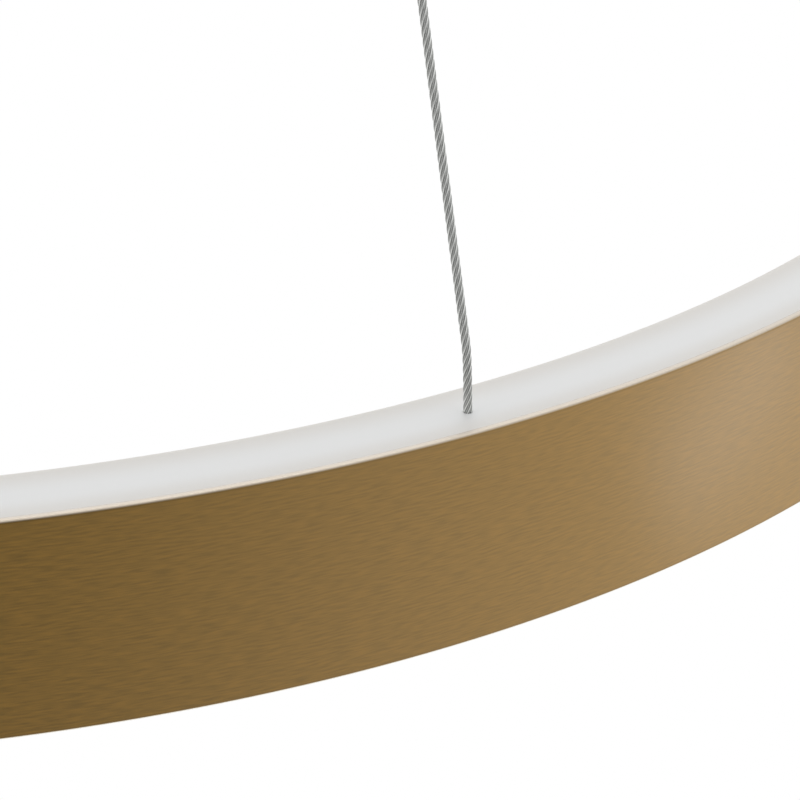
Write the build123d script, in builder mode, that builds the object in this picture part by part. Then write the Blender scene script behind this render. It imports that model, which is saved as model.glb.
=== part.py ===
"""LED ring pendant light, hung on three steel wires from a round ceiling canopy.

Millimetres, +Z up. The origin is on the ceiling, in the middle of the canopy, so the light hangs below it.
The ring is a rolled metal band with a C-shaped opal diffuser clipped to its inside. Each wire comes straight
up out of the diffuser, leans in to the canopy, and passes a gripper whose sprung nozzle frees it when pushed.
"""

import os
from math import cos, degrees, pi, radians, sin, sqrt

from build123d import *

os.makedirs("parts", exist_ok=True)

# Ring: the sizes that the eye sees
RING_DIAMETER = 600.0
RING_HEIGHT = 43.0
RING_WIDTH = 18.0
RING_DROP = 680.0
BAND_WALL = 1.3
BAND_EDGE_ROUND = 0.3
DIFFUSER_WALL = 1.8
DIFFUSER_CORNER = 2.7
SEAM_ANGLE = 90.0
SEAM_GAP = 0.3

# Ring: the track rolled into the band's inside, which holds the diffuser and the shoes
LEDGE_DEPTH = 3.0
LEDGE_THICKNESS = 1.6
LIP_THICKNESS = 1.2
LIP_DROP = 2.0
CLIP_LEG = 1.0
CLIP_BARB = 0.7
CLIP_BARB_HEIGHT = 0.8
TRACK_FIT = 0.1

# LED tape on the band's inside
TAPE_WIDTH = 10.0
TAPE_THICKNESS = 0.4
TAPE_ADHESIVE = 0.1
TAPE_GAP = 6.0
TAPE_RIB = 0.8
CHIP_COUNT = 108
CHIP_LENGTH = 3.5
CHIP_WIDTH = 2.8
CHIP_HEIGHT = 0.7
CHIP_SEAT = 0.02
CONNECTOR_LENGTH = 10.0
CONNECTOR_WIDTH = 13.0
CONNECTOR_DEPTH = 3.4

# Wires and where they meet the ring
WIRE_DIAMETER = 1.5
WIRE_INSET = 7.6
WIRE_ANGLES = {"front": -90.0, "right": 30.0, "left": 150.0}
WIRE_STUB = 8.4
WIRE_BEND = 40.0
WIRE_TAIL = 5.0
WIRE_HOLE_GAP = 0.25
ANCHOR_LENGTH = 16.0
ANCHOR_DEPTH = 10.0
ANCHOR_HEIGHT = 8.0
ANCHOR_HOLE_GAP = 0.2
STOP_DIAMETER = 4.0
STOP_LENGTH = 6.0
STOP_SEAT_DEPTH = 3.0
STOP_FIT = 0.05
NOTCH_GAP = 1.0

# Grub screws that lock the shoes in the track
GRUB_DIAMETER = 3.0
GRUB_FIT = 0.05
GRUB_SOCKET = 1.5
GRUB_SOCKET_DEPTH = 1.6
GRUB_RECESS = 0.6
ANCHOR_GRUB_SPACING = 9.0
SPLICE_LENGTH = 46.0
SPLICE_DEPTH = 4.4
SPLICE_HEIGHT = 7.0
SPLICE_GRUB_SPACING = 26.0

# Bush where the supply flex enters the ring
FEED_GAPS_FROM_SEAM = 5
FEED_BORE = 4.4
FEED_INSET = 7.5
BUSH_SHANK = 6.0
BUSH_FLANGE = 9.0
BUSH_FLANGE_HEIGHT = 1.0
BUSH_COLLAR = 7.2
BUSH_COLLAR_HEIGHT = 1.2
BUSH_FIT = 0.1

# Canopy
CANOPY_DIAMETER = 300.0
CANOPY_HEIGHT = 28.0
CANOPY_WALL = 1.2
CANOPY_CORNER = 5.0
PLATE_THICKNESS = 2.0
PLATE_PAD_LENGTH = 190.0
PLATE_PAD_WIDTH = 70.0
PLATE_PAD_CORNER = 8.0
PLATE_BEND = 1.5
PLATE_ENTRY = 22.0
EAR_HEIGHT = 18.0
EAR_WIDTH = 20.0
EAR_GAP = 0.4
CEILING_SCREW_SPACING = 100.0
CEILING_SLOT_LENGTH = 16.0
CEILING_SLOT_WIDTH = 5.0
SIDE_SCREW_DIAMETER = 4.0
SIDE_SCREW_LEVEL = -12.0
SIDE_SCREW_LENGTH = 12.0
SIDE_SCREW_HEAD = 8.0
SIDE_SCREW_HEAD_LENGTH = 6.0
SIDE_SCREW_FLUTES = 20
SIDE_SCREW_FLUTE = 0.5
SIDE_SCREW_GAP = 0.25
SCREW_FIT = 0.05

# Driver that feeds the LED tape
DRIVER_LENGTH = 130.0
DRIVER_WIDTH = 34.0
DRIVER_HEIGHT = 18.0
DRIVER_WALL = 1.8
DRIVER_ROUND = 3.0
DRIVER_BASE = 2.0
DRIVER_TAB = 10.0
DRIVER_ASIDE = 27.0
BOARD_THICKNESS = 1.6
BOARD_MARGIN = 3.0
BOARD_POST = 4.0
BOARD_POST_HEIGHT = 4.0
BOARD_POST_INSET = 4.0
COIL_LENGTH = 22.0
COIL_WIDTH = 18.0
PART_HEIGHT = 8.0
CAPACITOR_DIAMETER = 8.0
SMALL_SCREW = 3.0
SMALL_SCREW_HEAD = 5.6
SMALL_SCREW_HEAD_HEIGHT = 2.0
SMALL_SCREW_SLOT = 0.8
SMALL_SCREW_SLOT_DEPTH = 0.9

# Mains terminal block and earth screw
POLE_COUNT = 3
POLE_PITCH = 10.0
TERMINAL_WIDTH = 18.0
TERMINAL_HEIGHT = 15.0
TERMINAL_ASIDE = -22.0
TERMINAL_ENTRY = 4.2
TERMINAL_WELL = 4.0
TERMINAL_WELL_DEPTH = 5.0
TERMINAL_SCREW_ASIDE = 4.5
TERMINAL_SCREW_LENGTH = 4.0
EARTH_SCREW_AT = (40.0, -22.0)
EARTH_SCREW = 4.0
EARTH_HEAD = 8.0
EARTH_HEAD_HEIGHT = 2.6
EARTH_WASHER = 10.0
EARTH_WASHER_THICKNESS = 1.0

# Leads inside the canopy
LEAD_DIAMETER = 4.4
LEAD_BEND = 9.0
LEAD_LEVEL = -12.0
LEAD_FIT = 0.1
OUTLET_RADIUS = 80.0
OUTLET_NECK = 8.0
OUTLET_NECK_ABOVE = 7.0
OUTLET_FLANGE = 12.0
OUTLET_FLANGE_HEIGHT = 2.5
OUTLET_NOSE = 7.0
OUTLET_NOSE_LENGTH = 9.0
OUTLET_NUT_FLATS = 12.0
OUTLET_NUT_HEIGHT = 3.0
JUNCTION_LENGTH = 16.0
JUNCTION_WIDTH = 12.0
JUNCTION_HEIGHT = 10.0
JUNCTION_FROM_OUTLET = 24.0

# Wire gripper: cone, ball cage, spring and nozzle
GRIPPER_INSET = 20.0
GRIPPER_BARREL = 11.0
GRIPPER_LENGTH = 15.0
GRIPPER_NECK = 8.0
GRIPPER_NECK_LENGTH = 11.0
GRIPPER_TOP_WALL = 3.0
GRIPPER_TOP_HOLE = 2.6
GRIPPER_GUIDE_LENGTH = 4.0
CHAMBER_DIAMETER = 7.2
CONE_LENGTH = 8.0
GRIPPER_NUT_FLATS = 13.0
GRIPPER_NUT_HEIGHT = 4.0
THREAD_FIT = 0.05
HOLE_FIT = 0.15
NOZZLE_SHAFT = 4.5
NOZZLE_BORE = 2.2
NOZZLE_HEAD = 6.4
NOZZLE_HEAD_LENGTH = 3.0
NOZZLE_MOUTH = 4.4
NOZZLE_TRAVEL = 1.8
NOZZLE_STOP_GAP = 0.2
NOZZLE_FIT = 0.1
CAGE_FLANGE = 6.8
CAGE_FLANGE_THICKNESS = 1.0
SPRING_OUTER = 6.6
SPRING_INNER = 5.2
BALL_DIAMETER = 1.6
BALL_COUNT = 3
BALL_FIT = 0.03

# Places that follow from the sizes above
ring_radius = RING_DIAMETER / 2
ring_top = -RING_DROP
ring_bottom = ring_top - RING_HEIGHT
ring_middle = (ring_top + ring_bottom) / 2
ring_inner = ring_radius - RING_WIDTH
band_inner = ring_radius - BAND_WALL
ledge_end = band_inner - LEDGE_DEPTH
ledge_under = DIFFUSER_WALL + LEDGE_THICKNESS
lip_under = ledge_under + LIP_DROP
tape_back = band_inner - TAPE_ADHESIVE
tape_face = tape_back - TAPE_THICKNESS
wire_radius = ring_radius - WIRE_INSET
wire_hole = WIRE_DIAMETER / 2 + WIRE_HOLE_GAP
seam_degrees = degrees(SEAM_GAP / ring_radius)
chip_step = 360 / CHIP_COUNT
feed_angle = SEAM_ANGLE - FEED_GAPS_FROM_SEAM * chip_step
feed_radius = ring_inner + FEED_INSET
canopy_radius = CANOPY_DIAMETER / 2
canopy_inner = canopy_radius - CANOPY_WALL
floor_under = -CANOPY_HEIGHT
floor_top = floor_under + CANOPY_WALL
gripper_radius = canopy_radius - GRIPPER_INSET
barrel_under = floor_under - GRIPPER_LENGTH
neck_top = floor_under + GRIPPER_NECK_LENGTH
chamber_top = neck_top - GRIPPER_TOP_WALL
cone_low = barrel_under + GRIPPER_GUIDE_LENGTH
cone_high = cone_low + CONE_LENGTH
guide_radius = NOZZLE_SHAFT / 2 + NOZZLE_FIT
nozzle_head_top = barrel_under - NOZZLE_TRAVEL - NOZZLE_STOP_GAP
nozzle_mouth = nozzle_head_top - NOZZLE_HEAD_LENGTH
outlet_x = OUTLET_RADIUS * cos(radians(feed_angle))
outlet_y = OUTLET_RADIUS * sin(radians(feed_angle))


def upright(angle):
    """The upright plane through the ring's axis at that angle: local X points outwards, local Y up."""
    turn = radians(angle)
    return Plane(origin=(0, 0, 0), x_dir=(cos(turn), sin(turn), 0), z_dir=(sin(turn), -cos(turn), 0))


def polar(radius, angle, height):
    """The point at that radius and angle about the ring's axis, at that height."""
    return (radius * cos(radians(angle)), radius * sin(radians(angle)), height)


def inward(radius, angle, height, aside=0.0):
    """A plane that faces the ring's axis from that radius, moved aside along the ring."""
    x, y, z = polar(radius, angle, height)
    turn = radians(angle)
    origin = (x - aside * sin(turn), y + aside * cos(turn), z)
    return Plane(origin=origin, x_dir=(-sin(turn), cos(turn), 0), z_dir=(-cos(turn), -sin(turn), 0))


def downward(x, y, z):
    """A level plane that faces the floor."""
    return Plane(origin=(x, y, z), x_dir=(1, 0, 0), z_dir=(0, 0, -1))


def block(x0, x1, y0, y1):
    """A rectangle between two places across and two places up, in the sketch that is open."""
    with Locations(((x0 + x1) / 2, (y0 + y1) / 2)):
        Rectangle(x1 - x0, y1 - y0)


def levels(depth0, depth1, upper):
    """Two depths measured in from the ring's top edge, or from its bottom edge, as rising heights."""
    if upper:
        return ring_top - depth1, ring_top - depth0
    return ring_bottom + depth0, ring_bottom + depth1


def save(piece, name):
    """Labels a finished piece and writes it to its own file."""
    piece.part.label = name
    export_step(piece.part, f"parts/{name}.step")


# Ring band: the outer wall, a hooked track at its top and its bottom, and two ribs that seat the tape
with BuildPart() as ring_band:
    with BuildSketch(upright(SEAM_ANGLE + seam_degrees / 2)) as band_section:
        block(band_inner, ring_radius, ring_bottom, ring_top)
        fillet(band_section.vertices().group_by(Axis.X)[-1], BAND_EDGE_ROUND)
        for upper in (True, False):
            block(ledge_end, band_inner, *levels(DIFFUSER_WALL, ledge_under, upper))
            block(ledge_end, ledge_end + LIP_THICKNESS, *levels(ledge_under, lip_under, upper))
        for side in (1, -1):
            rib = ring_middle + side * (TAPE_WIDTH / 2 + TRACK_FIT + TAPE_RIB / 2)
            block(band_inner - TAPE_RIB, band_inner, rib - TAPE_RIB / 2, rib + TAPE_RIB / 2)
    revolve(axis=Axis.Z, revolution_arc=360 - seam_degrees)
save(ring_band, "ring_band")

# Diffuser: a C-shaped opal channel whose legs snap over the band's lips
clip_outer = ledge_end - TRACK_FIT
clip_inner = clip_outer - CLIP_LEG
barb_level = lip_under + TRACK_FIT
barb_end = barb_level + CLIP_BARB_HEIGHT
notch_depth = barb_end + TRACK_FIT


def notch(angle, length, upper):
    """Cuts the diffuser's leg away where a shoe of that length sits in the track."""
    span = degrees((length + 2 * NOTCH_GAP) / ring_radius)
    outer = clip_outer + CLIP_BARB + NOTCH_GAP
    with BuildSketch(upright(angle - span / 2)) as section:
        block(clip_inner - NOTCH_GAP, outer, *levels(DIFFUSER_WALL, notch_depth, upper))
    revolve(section.sketch, axis=Axis.Z, revolution_arc=span, mode=Mode.SUBTRACT)


with BuildPart() as ring_diffuser:
    with BuildSketch(upright(SEAM_ANGLE + seam_degrees / 2)) as channel:
        block(ring_inner, band_inner - TRACK_FIT, ring_bottom, ring_top)
        fillet(channel.vertices().group_by(Axis.X)[0], DIFFUSER_CORNER)
        with BuildSketch(mode=Mode.PRIVATE) as hollow:
            hollow_inner = ring_inner + DIFFUSER_WALL
            block(hollow_inner, ring_radius, ring_bottom + DIFFUSER_WALL, ring_top - DIFFUSER_WALL)
            fillet(hollow.vertices().group_by(Axis.X)[0], DIFFUSER_CORNER - DIFFUSER_WALL)
        add(hollow.sketch, mode=Mode.SUBTRACT)
        for upper in (True, False):
            block(clip_inner, clip_outer, *levels(DIFFUSER_WALL, barb_end, upper))
            block(clip_outer, clip_outer + CLIP_BARB, *levels(barb_level, barb_end, upper))
    revolve(axis=Axis.Z, revolution_arc=360 - seam_degrees)
    for angle in WIRE_ANGLES.values():
        notch(angle, ANCHOR_LENGTH, True)
        with Locations(polar(wire_radius, angle, ring_top)):
            Hole(wire_hole, DIFFUSER_WALL * 2)
    for upper in (True, False):
        notch(SEAM_ANGLE, SPLICE_LENGTH, upper)
    with Locations(polar(feed_radius, feed_angle, ring_top)):
        Hole(BUSH_SHANK / 2 + BUSH_FIT, DIFFUSER_WALL * 2)
save(ring_diffuser, "ring_diffuser")


def shoe_section(depth, height, upper):
    """The section of a shoe that hooks behind the lip of the band's track, in the sketch that is open."""
    outer = band_inner - TRACK_FIT
    tongue = ledge_end + LIP_THICKNESS + TRACK_FIT
    block(tongue, outer, *levels(ledge_under, lip_under + TRACK_FIT, upper))
    block(outer - depth, outer, *levels(lip_under + TRACK_FIT, lip_under + TRACK_FIT + height, upper))


def grub_screw(inner_radius, angle, height, aside):
    """A socket grub screw, from just inside a shoe's inner face to the band, in the part that is open."""
    seat = inward(inner_radius + GRUB_RECESS, angle, height, aside)
    edge = abs(aside) + GRUB_DIAMETER / 2
    reach = sqrt(band_inner**2 - edge**2) - inner_radius - GRUB_RECESS
    with BuildSketch(seat) as shank:
        Circle(GRUB_DIAMETER / 2)
    extrude(shank.sketch, amount=-(reach - GRUB_FIT))
    with BuildSketch(seat) as socket:
        RegularPolygon(GRUB_SOCKET / 2, 6)
    extrude(socket.sketch, amount=-GRUB_SOCKET_DEPTH, mode=Mode.SUBTRACT)


# Anchors: each takes the pull of one wire, through the crimped stop under it
anchor_inner = band_inner - TRACK_FIT - ANCHOR_DEPTH
anchor_top = ring_top - lip_under - TRACK_FIT
anchor_bottom = anchor_top - ANCHOR_HEIGHT
anchor_grub_level = anchor_top - ANCHOR_HEIGHT / 2
stop_top = anchor_bottom + STOP_SEAT_DEPTH
stop_bottom = stop_top - STOP_LENGTH
anchor_span = degrees(ANCHOR_LENGTH / ring_radius)
anchor_hole = WIRE_DIAMETER / 2 + ANCHOR_HOLE_GAP
for side, angle in WIRE_ANGLES.items():
    with BuildPart() as wire_anchor:
        with BuildSketch(upright(angle - anchor_span / 2)):
            shoe_section(ANCHOR_DEPTH, ANCHOR_HEIGHT, True)
        revolve(axis=Axis.Z, revolution_arc=anchor_span)
        with Locations(downward(*polar(wire_radius, angle, anchor_bottom))):
            CounterBoreHole(anchor_hole, STOP_DIAMETER / 2 + STOP_FIT, STOP_SEAT_DEPTH, ANCHOR_HEIGHT)
        for aside in (-ANCHOR_GRUB_SPACING / 2, ANCHOR_GRUB_SPACING / 2):
            with Locations(inward(anchor_inner, angle, anchor_grub_level, aside)):
                Hole(GRUB_DIAMETER / 2 + GRUB_FIT, ANCHOR_DEPTH + BAND_WALL)
    save(wire_anchor, f"wire_anchor_{side}")

    with BuildPart() as wire_stop:
        with BuildSketch(Plane(polar(wire_radius, angle, stop_bottom))):
            Circle(STOP_DIAMETER / 2)
            Circle(WIRE_DIAMETER / 2 + STOP_FIT, mode=Mode.SUBTRACT)
        extrude(amount=STOP_LENGTH)
        chamfer(wire_stop.faces().sort_by(Axis.Z)[0].outer_wire().edges(), STOP_DIAMETER / 10)
    save(wire_stop, f"wire_stop_{side}")

with BuildPart() as anchor_grub_screws:
    for angle in WIRE_ANGLES.values():
        for aside in (-ANCHOR_GRUB_SPACING / 2, ANCHOR_GRUB_SPACING / 2):
            grub_screw(anchor_inner, angle, anchor_grub_level, aside)
save(anchor_grub_screws, "anchor_grub_screws")

# Splice shoes: they hold the two ends of the rolled band together across its seam
splice_span = degrees(SPLICE_LENGTH / ring_radius)
splice_inner = band_inner - TRACK_FIT - SPLICE_DEPTH
splice_levels = {}
for upper, name in ((True, "upper"), (False, "lower")):
    low, high = levels(lip_under + TRACK_FIT, lip_under + TRACK_FIT + SPLICE_HEIGHT, upper)
    splice_levels[name] = (low + high) / 2
    with BuildPart() as band_splice:
        with BuildSketch(upright(SEAM_ANGLE - splice_span / 2)):
            shoe_section(SPLICE_DEPTH, SPLICE_HEIGHT, upper)
        revolve(axis=Axis.Z, revolution_arc=splice_span)
        for aside in (-SPLICE_GRUB_SPACING / 2, SPLICE_GRUB_SPACING / 2):
            with Locations(inward(splice_inner, SEAM_ANGLE, splice_levels[name], aside)):
                Hole(GRUB_DIAMETER / 2 + GRUB_FIT, SPLICE_DEPTH + BAND_WALL)
    save(band_splice, f"band_splice_{name}")

with BuildPart() as splice_grub_screws:
    for level in splice_levels.values():
        for aside in (-SPLICE_GRUB_SPACING / 2, SPLICE_GRUB_SPACING / 2):
            grub_screw(splice_inner, SEAM_ANGLE, level, aside)
save(splice_grub_screws, "splice_grub_screws")

# LED tape, its chips and the connector that feeds it
tape_gap_degrees = degrees(TAPE_GAP / tape_face)
with BuildPart() as led_tape:
    with BuildSketch(upright(SEAM_ANGLE + tape_gap_degrees / 2)):
        block(tape_face, tape_back, ring_middle - TAPE_WIDTH / 2, ring_middle + TAPE_WIDTH / 2)
    revolve(axis=Axis.Z, revolution_arc=360 - tape_gap_degrees)
save(led_tape, "led_tape")

with BuildPart(Plane.XY.offset(ring_middle)) as led_chips:
    with PolarLocations(tape_face - CHIP_SEAT - CHIP_HEIGHT / 2, CHIP_COUNT, SEAM_ANGLE + chip_step / 2):
        Box(CHIP_HEIGHT, CHIP_LENGTH, CHIP_WIDTH)
save(led_chips, "led_chips")

connector_span = degrees(CONNECTOR_LENGTH / band_inner)
connector_seat = band_inner - TAPE_RIB
with BuildPart() as tape_connector:
    with BuildSketch(upright(feed_angle - connector_span / 2)):
        half = CONNECTOR_WIDTH / 2
        block(connector_seat - CONNECTOR_DEPTH, connector_seat, ring_middle - half, ring_middle + half)
    revolve(axis=Axis.Z, revolution_arc=connector_span)
save(tape_connector, "tape_connector")

# Bush that guides the supply flex through the diffuser
with BuildPart() as ring_feed_bush:
    with BuildSketch(Plane(polar(feed_radius, feed_angle, ring_top))):
        Circle(BUSH_FLANGE / 2)
    extrude(amount=BUSH_FLANGE_HEIGHT)
    fillet(ring_feed_bush.faces().sort_by(Axis.Z)[-1].edges(), BUSH_FLANGE_HEIGHT / 2)
    with BuildSketch(Plane(polar(feed_radius, feed_angle, ring_top))):
        Circle(BUSH_SHANK / 2)
    extrude(amount=-DIFFUSER_WALL)
    with BuildSketch(Plane(polar(feed_radius, feed_angle, ring_top - DIFFUSER_WALL))):
        Circle(BUSH_COLLAR / 2)
    extrude(amount=-BUSH_COLLAR_HEIGHT)
    with Locations(polar(feed_radius, feed_angle, ring_top + BUSH_FLANGE_HEIGHT)):
        Hole(FEED_BORE / 2)
save(ring_feed_bush, "ring_feed_bush")

# Canopy cup: open at the ceiling, holed for the grippers, the supply flex and the side screws
with BuildPart() as canopy_cup:
    with BuildSketch(Plane.XZ) as cup_section:
        block(0, canopy_radius, floor_under, 0)
        fillet(cup_section.vertices().group_by(Axis.X)[-1].sort_by(Axis.Y)[0], CANOPY_CORNER)
        with BuildSketch(mode=Mode.PRIVATE) as cup_hollow:
            block(0, canopy_inner, floor_top, CANOPY_WALL)
            fillet(cup_hollow.vertices().group_by(Axis.X)[-1].sort_by(Axis.Y)[0], CANOPY_CORNER - CANOPY_WALL)
        add(cup_hollow.sketch, mode=Mode.SUBTRACT)
    revolve(axis=Axis.Z)
    for angle in WIRE_ANGLES.values():
        with Locations(polar(gripper_radius, angle, floor_top)):
            Hole(GRIPPER_NECK / 2 + HOLE_FIT, CANOPY_WALL * 2)
    with Locations((outlet_x, outlet_y, floor_top)):
        Hole(OUTLET_NECK / 2 + HOLE_FIT, CANOPY_WALL * 2)
    with Locations(Plane((canopy_radius, 0, SIDE_SCREW_LEVEL), z_dir=(1, 0, 0))):
        Hole(SIDE_SCREW_DIAMETER / 2 + SIDE_SCREW_GAP)
save(canopy_cup, "canopy_cup")

# Ceiling plate: it is screwed to the ceiling, and its two ears take the canopy's side screws
ear_outer = canopy_inner - EAR_GAP - (canopy_inner - sqrt(canopy_inner**2 - (EAR_WIDTH / 2) ** 2))
driver_screw_x = (DRIVER_LENGTH + DRIVER_TAB) / 2
with BuildPart() as ceiling_plate:
    with BuildSketch(Plane.XZ) as strip_section:
        block(-ear_outer, ear_outer, -EAR_HEIGHT, 0)
        fillet(strip_section.vertices().group_by(Axis.Y)[-1], PLATE_BEND + PLATE_THICKNESS)
        with BuildSketch(mode=Mode.PRIVATE) as strip_hollow:
            reach = ear_outer - PLATE_THICKNESS
            block(-reach, reach, -EAR_HEIGHT, -PLATE_THICKNESS)
            fillet(strip_hollow.vertices().group_by(Axis.Y)[-1], PLATE_BEND)
        add(strip_hollow.sketch, mode=Mode.SUBTRACT)
    extrude(amount=EAR_WIDTH / 2, both=True)
    with BuildSketch(Plane.XY.offset(-PLATE_THICKNESS)):
        RectangleRounded(PLATE_PAD_LENGTH, PLATE_PAD_WIDTH, PLATE_PAD_CORNER)
    extrude(amount=PLATE_THICKNESS)
    with BuildSketch(Plane.XY):
        Circle(PLATE_ENTRY / 2)
        with GridLocations(CEILING_SCREW_SPACING, 1, 2, 1):
            SlotOverall(CEILING_SLOT_LENGTH, CEILING_SLOT_WIDTH)
        with Locations((driver_screw_x, DRIVER_ASIDE), (-driver_screw_x, DRIVER_ASIDE), (0, TERMINAL_ASIDE)):
            Circle(SMALL_SCREW / 2 + SCREW_FIT)
        with Locations(EARTH_SCREW_AT):
            Circle(EARTH_SCREW / 2 + SCREW_FIT)
    extrude(amount=-PLATE_THICKNESS, mode=Mode.SUBTRACT)
    with Locations(Plane((ear_outer, 0, SIDE_SCREW_LEVEL), z_dir=(1, 0, 0))):
        Hole(SIDE_SCREW_DIAMETER / 2 + SCREW_FIT)
save(ceiling_plate, "ceiling_plate")

# Side screws: fluted thumb screws through the canopy's wall into the plate's ears
with BuildPart() as canopy_side_screws:
    for side in (1, -1):
        seat = Plane((side * (canopy_radius + SCREW_FIT), 0, SIDE_SCREW_LEVEL), z_dir=(side, 0, 0))
        with BuildSketch(seat):
            Circle(SIDE_SCREW_HEAD / 2)
            with PolarLocations(SIDE_SCREW_HEAD / 2, SIDE_SCREW_FLUTES):
                Circle(SIDE_SCREW_FLUTE / 2, mode=Mode.SUBTRACT)
        extrude(amount=SIDE_SCREW_HEAD_LENGTH)
        with BuildSketch(seat):
            Circle(SIDE_SCREW_DIAMETER / 2)
        extrude(amount=-SIDE_SCREW_LENGTH)
save(canopy_side_screws, "canopy_side_screws")


def pan_screw(x, y, z, diameter, length, head, head_height):
    """A slotted screw that points up, with its head's flat face at that height, in the part that is open."""
    with BuildSketch(Plane((x, y, z))) as shank:
        Circle(diameter / 2)
    extrude(shank.sketch, amount=length)
    with BuildSketch(downward(x, y, z)) as cap:
        Circle(head / 2)
    extrude(cap.sketch, amount=head_height)
    with BuildSketch(downward(x, y, z - head_height)) as slot:
        Rectangle(head, SMALL_SCREW_SLOT)
    extrude(slot.sketch, amount=-SMALL_SCREW_SLOT_DEPTH, mode=Mode.SUBTRACT)


# Driver: a base screwed up under the plate, a cover, and the board with its parts
driver_top = -PLATE_THICKNESS
base_under = driver_top - DRIVER_BASE
cover_under = base_under - DRIVER_HEIGHT
board_top = base_under - BOARD_POST_HEIGHT
board_under = board_top - BOARD_THICKNESS
board_length = DRIVER_LENGTH - 2 * (DRIVER_WALL + BOARD_MARGIN)
board_width = DRIVER_WIDTH - 2 * (DRIVER_WALL + BOARD_MARGIN / 2)
post_x = board_length - 2 * BOARD_POST_INSET
post_y = board_width - 2 * BOARD_POST_INSET
with BuildPart() as driver_base:
    with BuildSketch(Plane((0, DRIVER_ASIDE, base_under))):
        RectangleRounded(DRIVER_LENGTH + 2 * DRIVER_TAB, DRIVER_WIDTH, DRIVER_ROUND)
        with GridLocations(2 * driver_screw_x, 1, 2, 1):
            Circle(SMALL_SCREW / 2 + HOLE_FIT, mode=Mode.SUBTRACT)
    extrude(amount=DRIVER_BASE)
    with BuildSketch(downward(0, DRIVER_ASIDE, base_under)):
        with GridLocations(post_x, post_y, 2, 2):
            Circle(BOARD_POST / 2)
    extrude(amount=BOARD_POST_HEIGHT)
save(driver_base, "driver_base")

lead_y = DRIVER_ASIDE
with BuildPart() as driver_cover:
    with BuildSketch(Plane((0, DRIVER_ASIDE, cover_under))):
        RectangleRounded(DRIVER_LENGTH, DRIVER_WIDTH, DRIVER_ROUND)
    extrude(amount=DRIVER_HEIGHT)
    with BuildSketch(Plane((0, DRIVER_ASIDE, cover_under + DRIVER_WALL))):
        Rectangle(DRIVER_LENGTH - 2 * DRIVER_WALL, DRIVER_WIDTH - 2 * DRIVER_WALL)
    extrude(amount=DRIVER_HEIGHT, mode=Mode.SUBTRACT)
    with Locations(Plane((DRIVER_LENGTH / 2, lead_y, LEAD_LEVEL), z_dir=(1, 0, 0))):
        Hole(LEAD_DIAMETER / 2 + LEAD_FIT)
    fillet(driver_cover.faces().sort_by(Axis.Z)[0].outer_wire().edges(), DRIVER_WALL / 2)
save(driver_cover, "driver_cover")

with BuildPart() as driver_board:
    with BuildSketch(Plane((0, DRIVER_ASIDE, board_under))):
        Rectangle(board_length, board_width)
    extrude(amount=BOARD_THICKNESS)
save(driver_board, "driver_board")

with BuildPart() as driver_parts:
    with BuildSketch(downward(0, DRIVER_ASIDE, board_under)):
        Rectangle(COIL_LENGTH, COIL_WIDTH)
        with Locations((COIL_LENGTH, 0), (COIL_LENGTH + CAPACITOR_DIAMETER * 1.5, 0), (-COIL_LENGTH, 0)):
            Circle(CAPACITOR_DIAMETER / 2)
    extrude(amount=PART_HEIGHT)
save(driver_parts, "driver_parts")

with BuildPart() as driver_screws:
    for side in (1, -1):
        place = (side * driver_screw_x, DRIVER_ASIDE, base_under)
        length = DRIVER_BASE + PLATE_THICKNESS
        pan_screw(*place, SMALL_SCREW, length, SMALL_SCREW_HEAD, SMALL_SCREW_HEAD_HEIGHT)
save(driver_screws, "driver_screws")

# Mains terminal block: wire entries on both sides, a screw well over each, and one fixing screw
terminal_top = -PLATE_THICKNESS
terminal_under = terminal_top - TERMINAL_HEIGHT
terminal_length = (POLE_COUNT + 1) * POLE_PITCH
entry_level = (terminal_top + terminal_under) / 2
pole_places = [(i - (POLE_COUNT - 1) / 2) * POLE_PITCH + POLE_PITCH / 2 for i in range(POLE_COUNT)]
well_top = terminal_under + TERMINAL_WELL_DEPTH
with BuildPart() as terminal_block:
    with BuildSketch(Plane((0, TERMINAL_ASIDE, terminal_under))):
        RectangleRounded(terminal_length, TERMINAL_WIDTH, TERMINAL_WELL / 4)
    extrude(amount=TERMINAL_HEIGHT)
    with Locations(*[Plane((x, TERMINAL_ASIDE, entry_level), z_dir=(0, 1, 0)) for x in pole_places]):
        Cylinder(TERMINAL_ENTRY / 2, TERMINAL_WIDTH * 2, mode=Mode.SUBTRACT)
    for x in pole_places:
        for aside in (-TERMINAL_SCREW_ASIDE, TERMINAL_SCREW_ASIDE):
            with Locations(downward(x, TERMINAL_ASIDE + aside, terminal_under)):
                Hole(TERMINAL_WELL / 2, TERMINAL_WELL_DEPTH)
    with Locations(downward(0, TERMINAL_ASIDE, terminal_under)):
        CounterBoreHole(SMALL_SCREW / 2 + HOLE_FIT, SMALL_SCREW_HEAD / 2 + HOLE_FIT, TERMINAL_WELL_DEPTH)
save(terminal_block, "terminal_block")

with BuildPart() as terminal_screws:
    for x in pole_places:
        for aside in (-TERMINAL_SCREW_ASIDE, TERMINAL_SCREW_ASIDE):
            with BuildSketch(downward(x, TERMINAL_ASIDE + aside, well_top)):
                Circle(TERMINAL_WELL / 2 - HOLE_FIT)
            extrude(amount=TERMINAL_SCREW_LENGTH)
            with BuildSketch(downward(x, TERMINAL_ASIDE + aside, well_top - TERMINAL_SCREW_LENGTH)):
                Rectangle(TERMINAL_WELL, SMALL_SCREW_SLOT)
            extrude(amount=-SMALL_SCREW_SLOT_DEPTH, mode=Mode.SUBTRACT)
save(terminal_screws, "terminal_screws")

with BuildPart() as terminal_fixing_screw:
    length = TERMINAL_HEIGHT - TERMINAL_WELL_DEPTH + PLATE_THICKNESS
    pan_screw(0, TERMINAL_ASIDE, well_top, SMALL_SCREW, length, SMALL_SCREW_HEAD, SMALL_SCREW_HEAD_HEIGHT)
save(terminal_fixing_screw, "terminal_fixing_screw")

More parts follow.
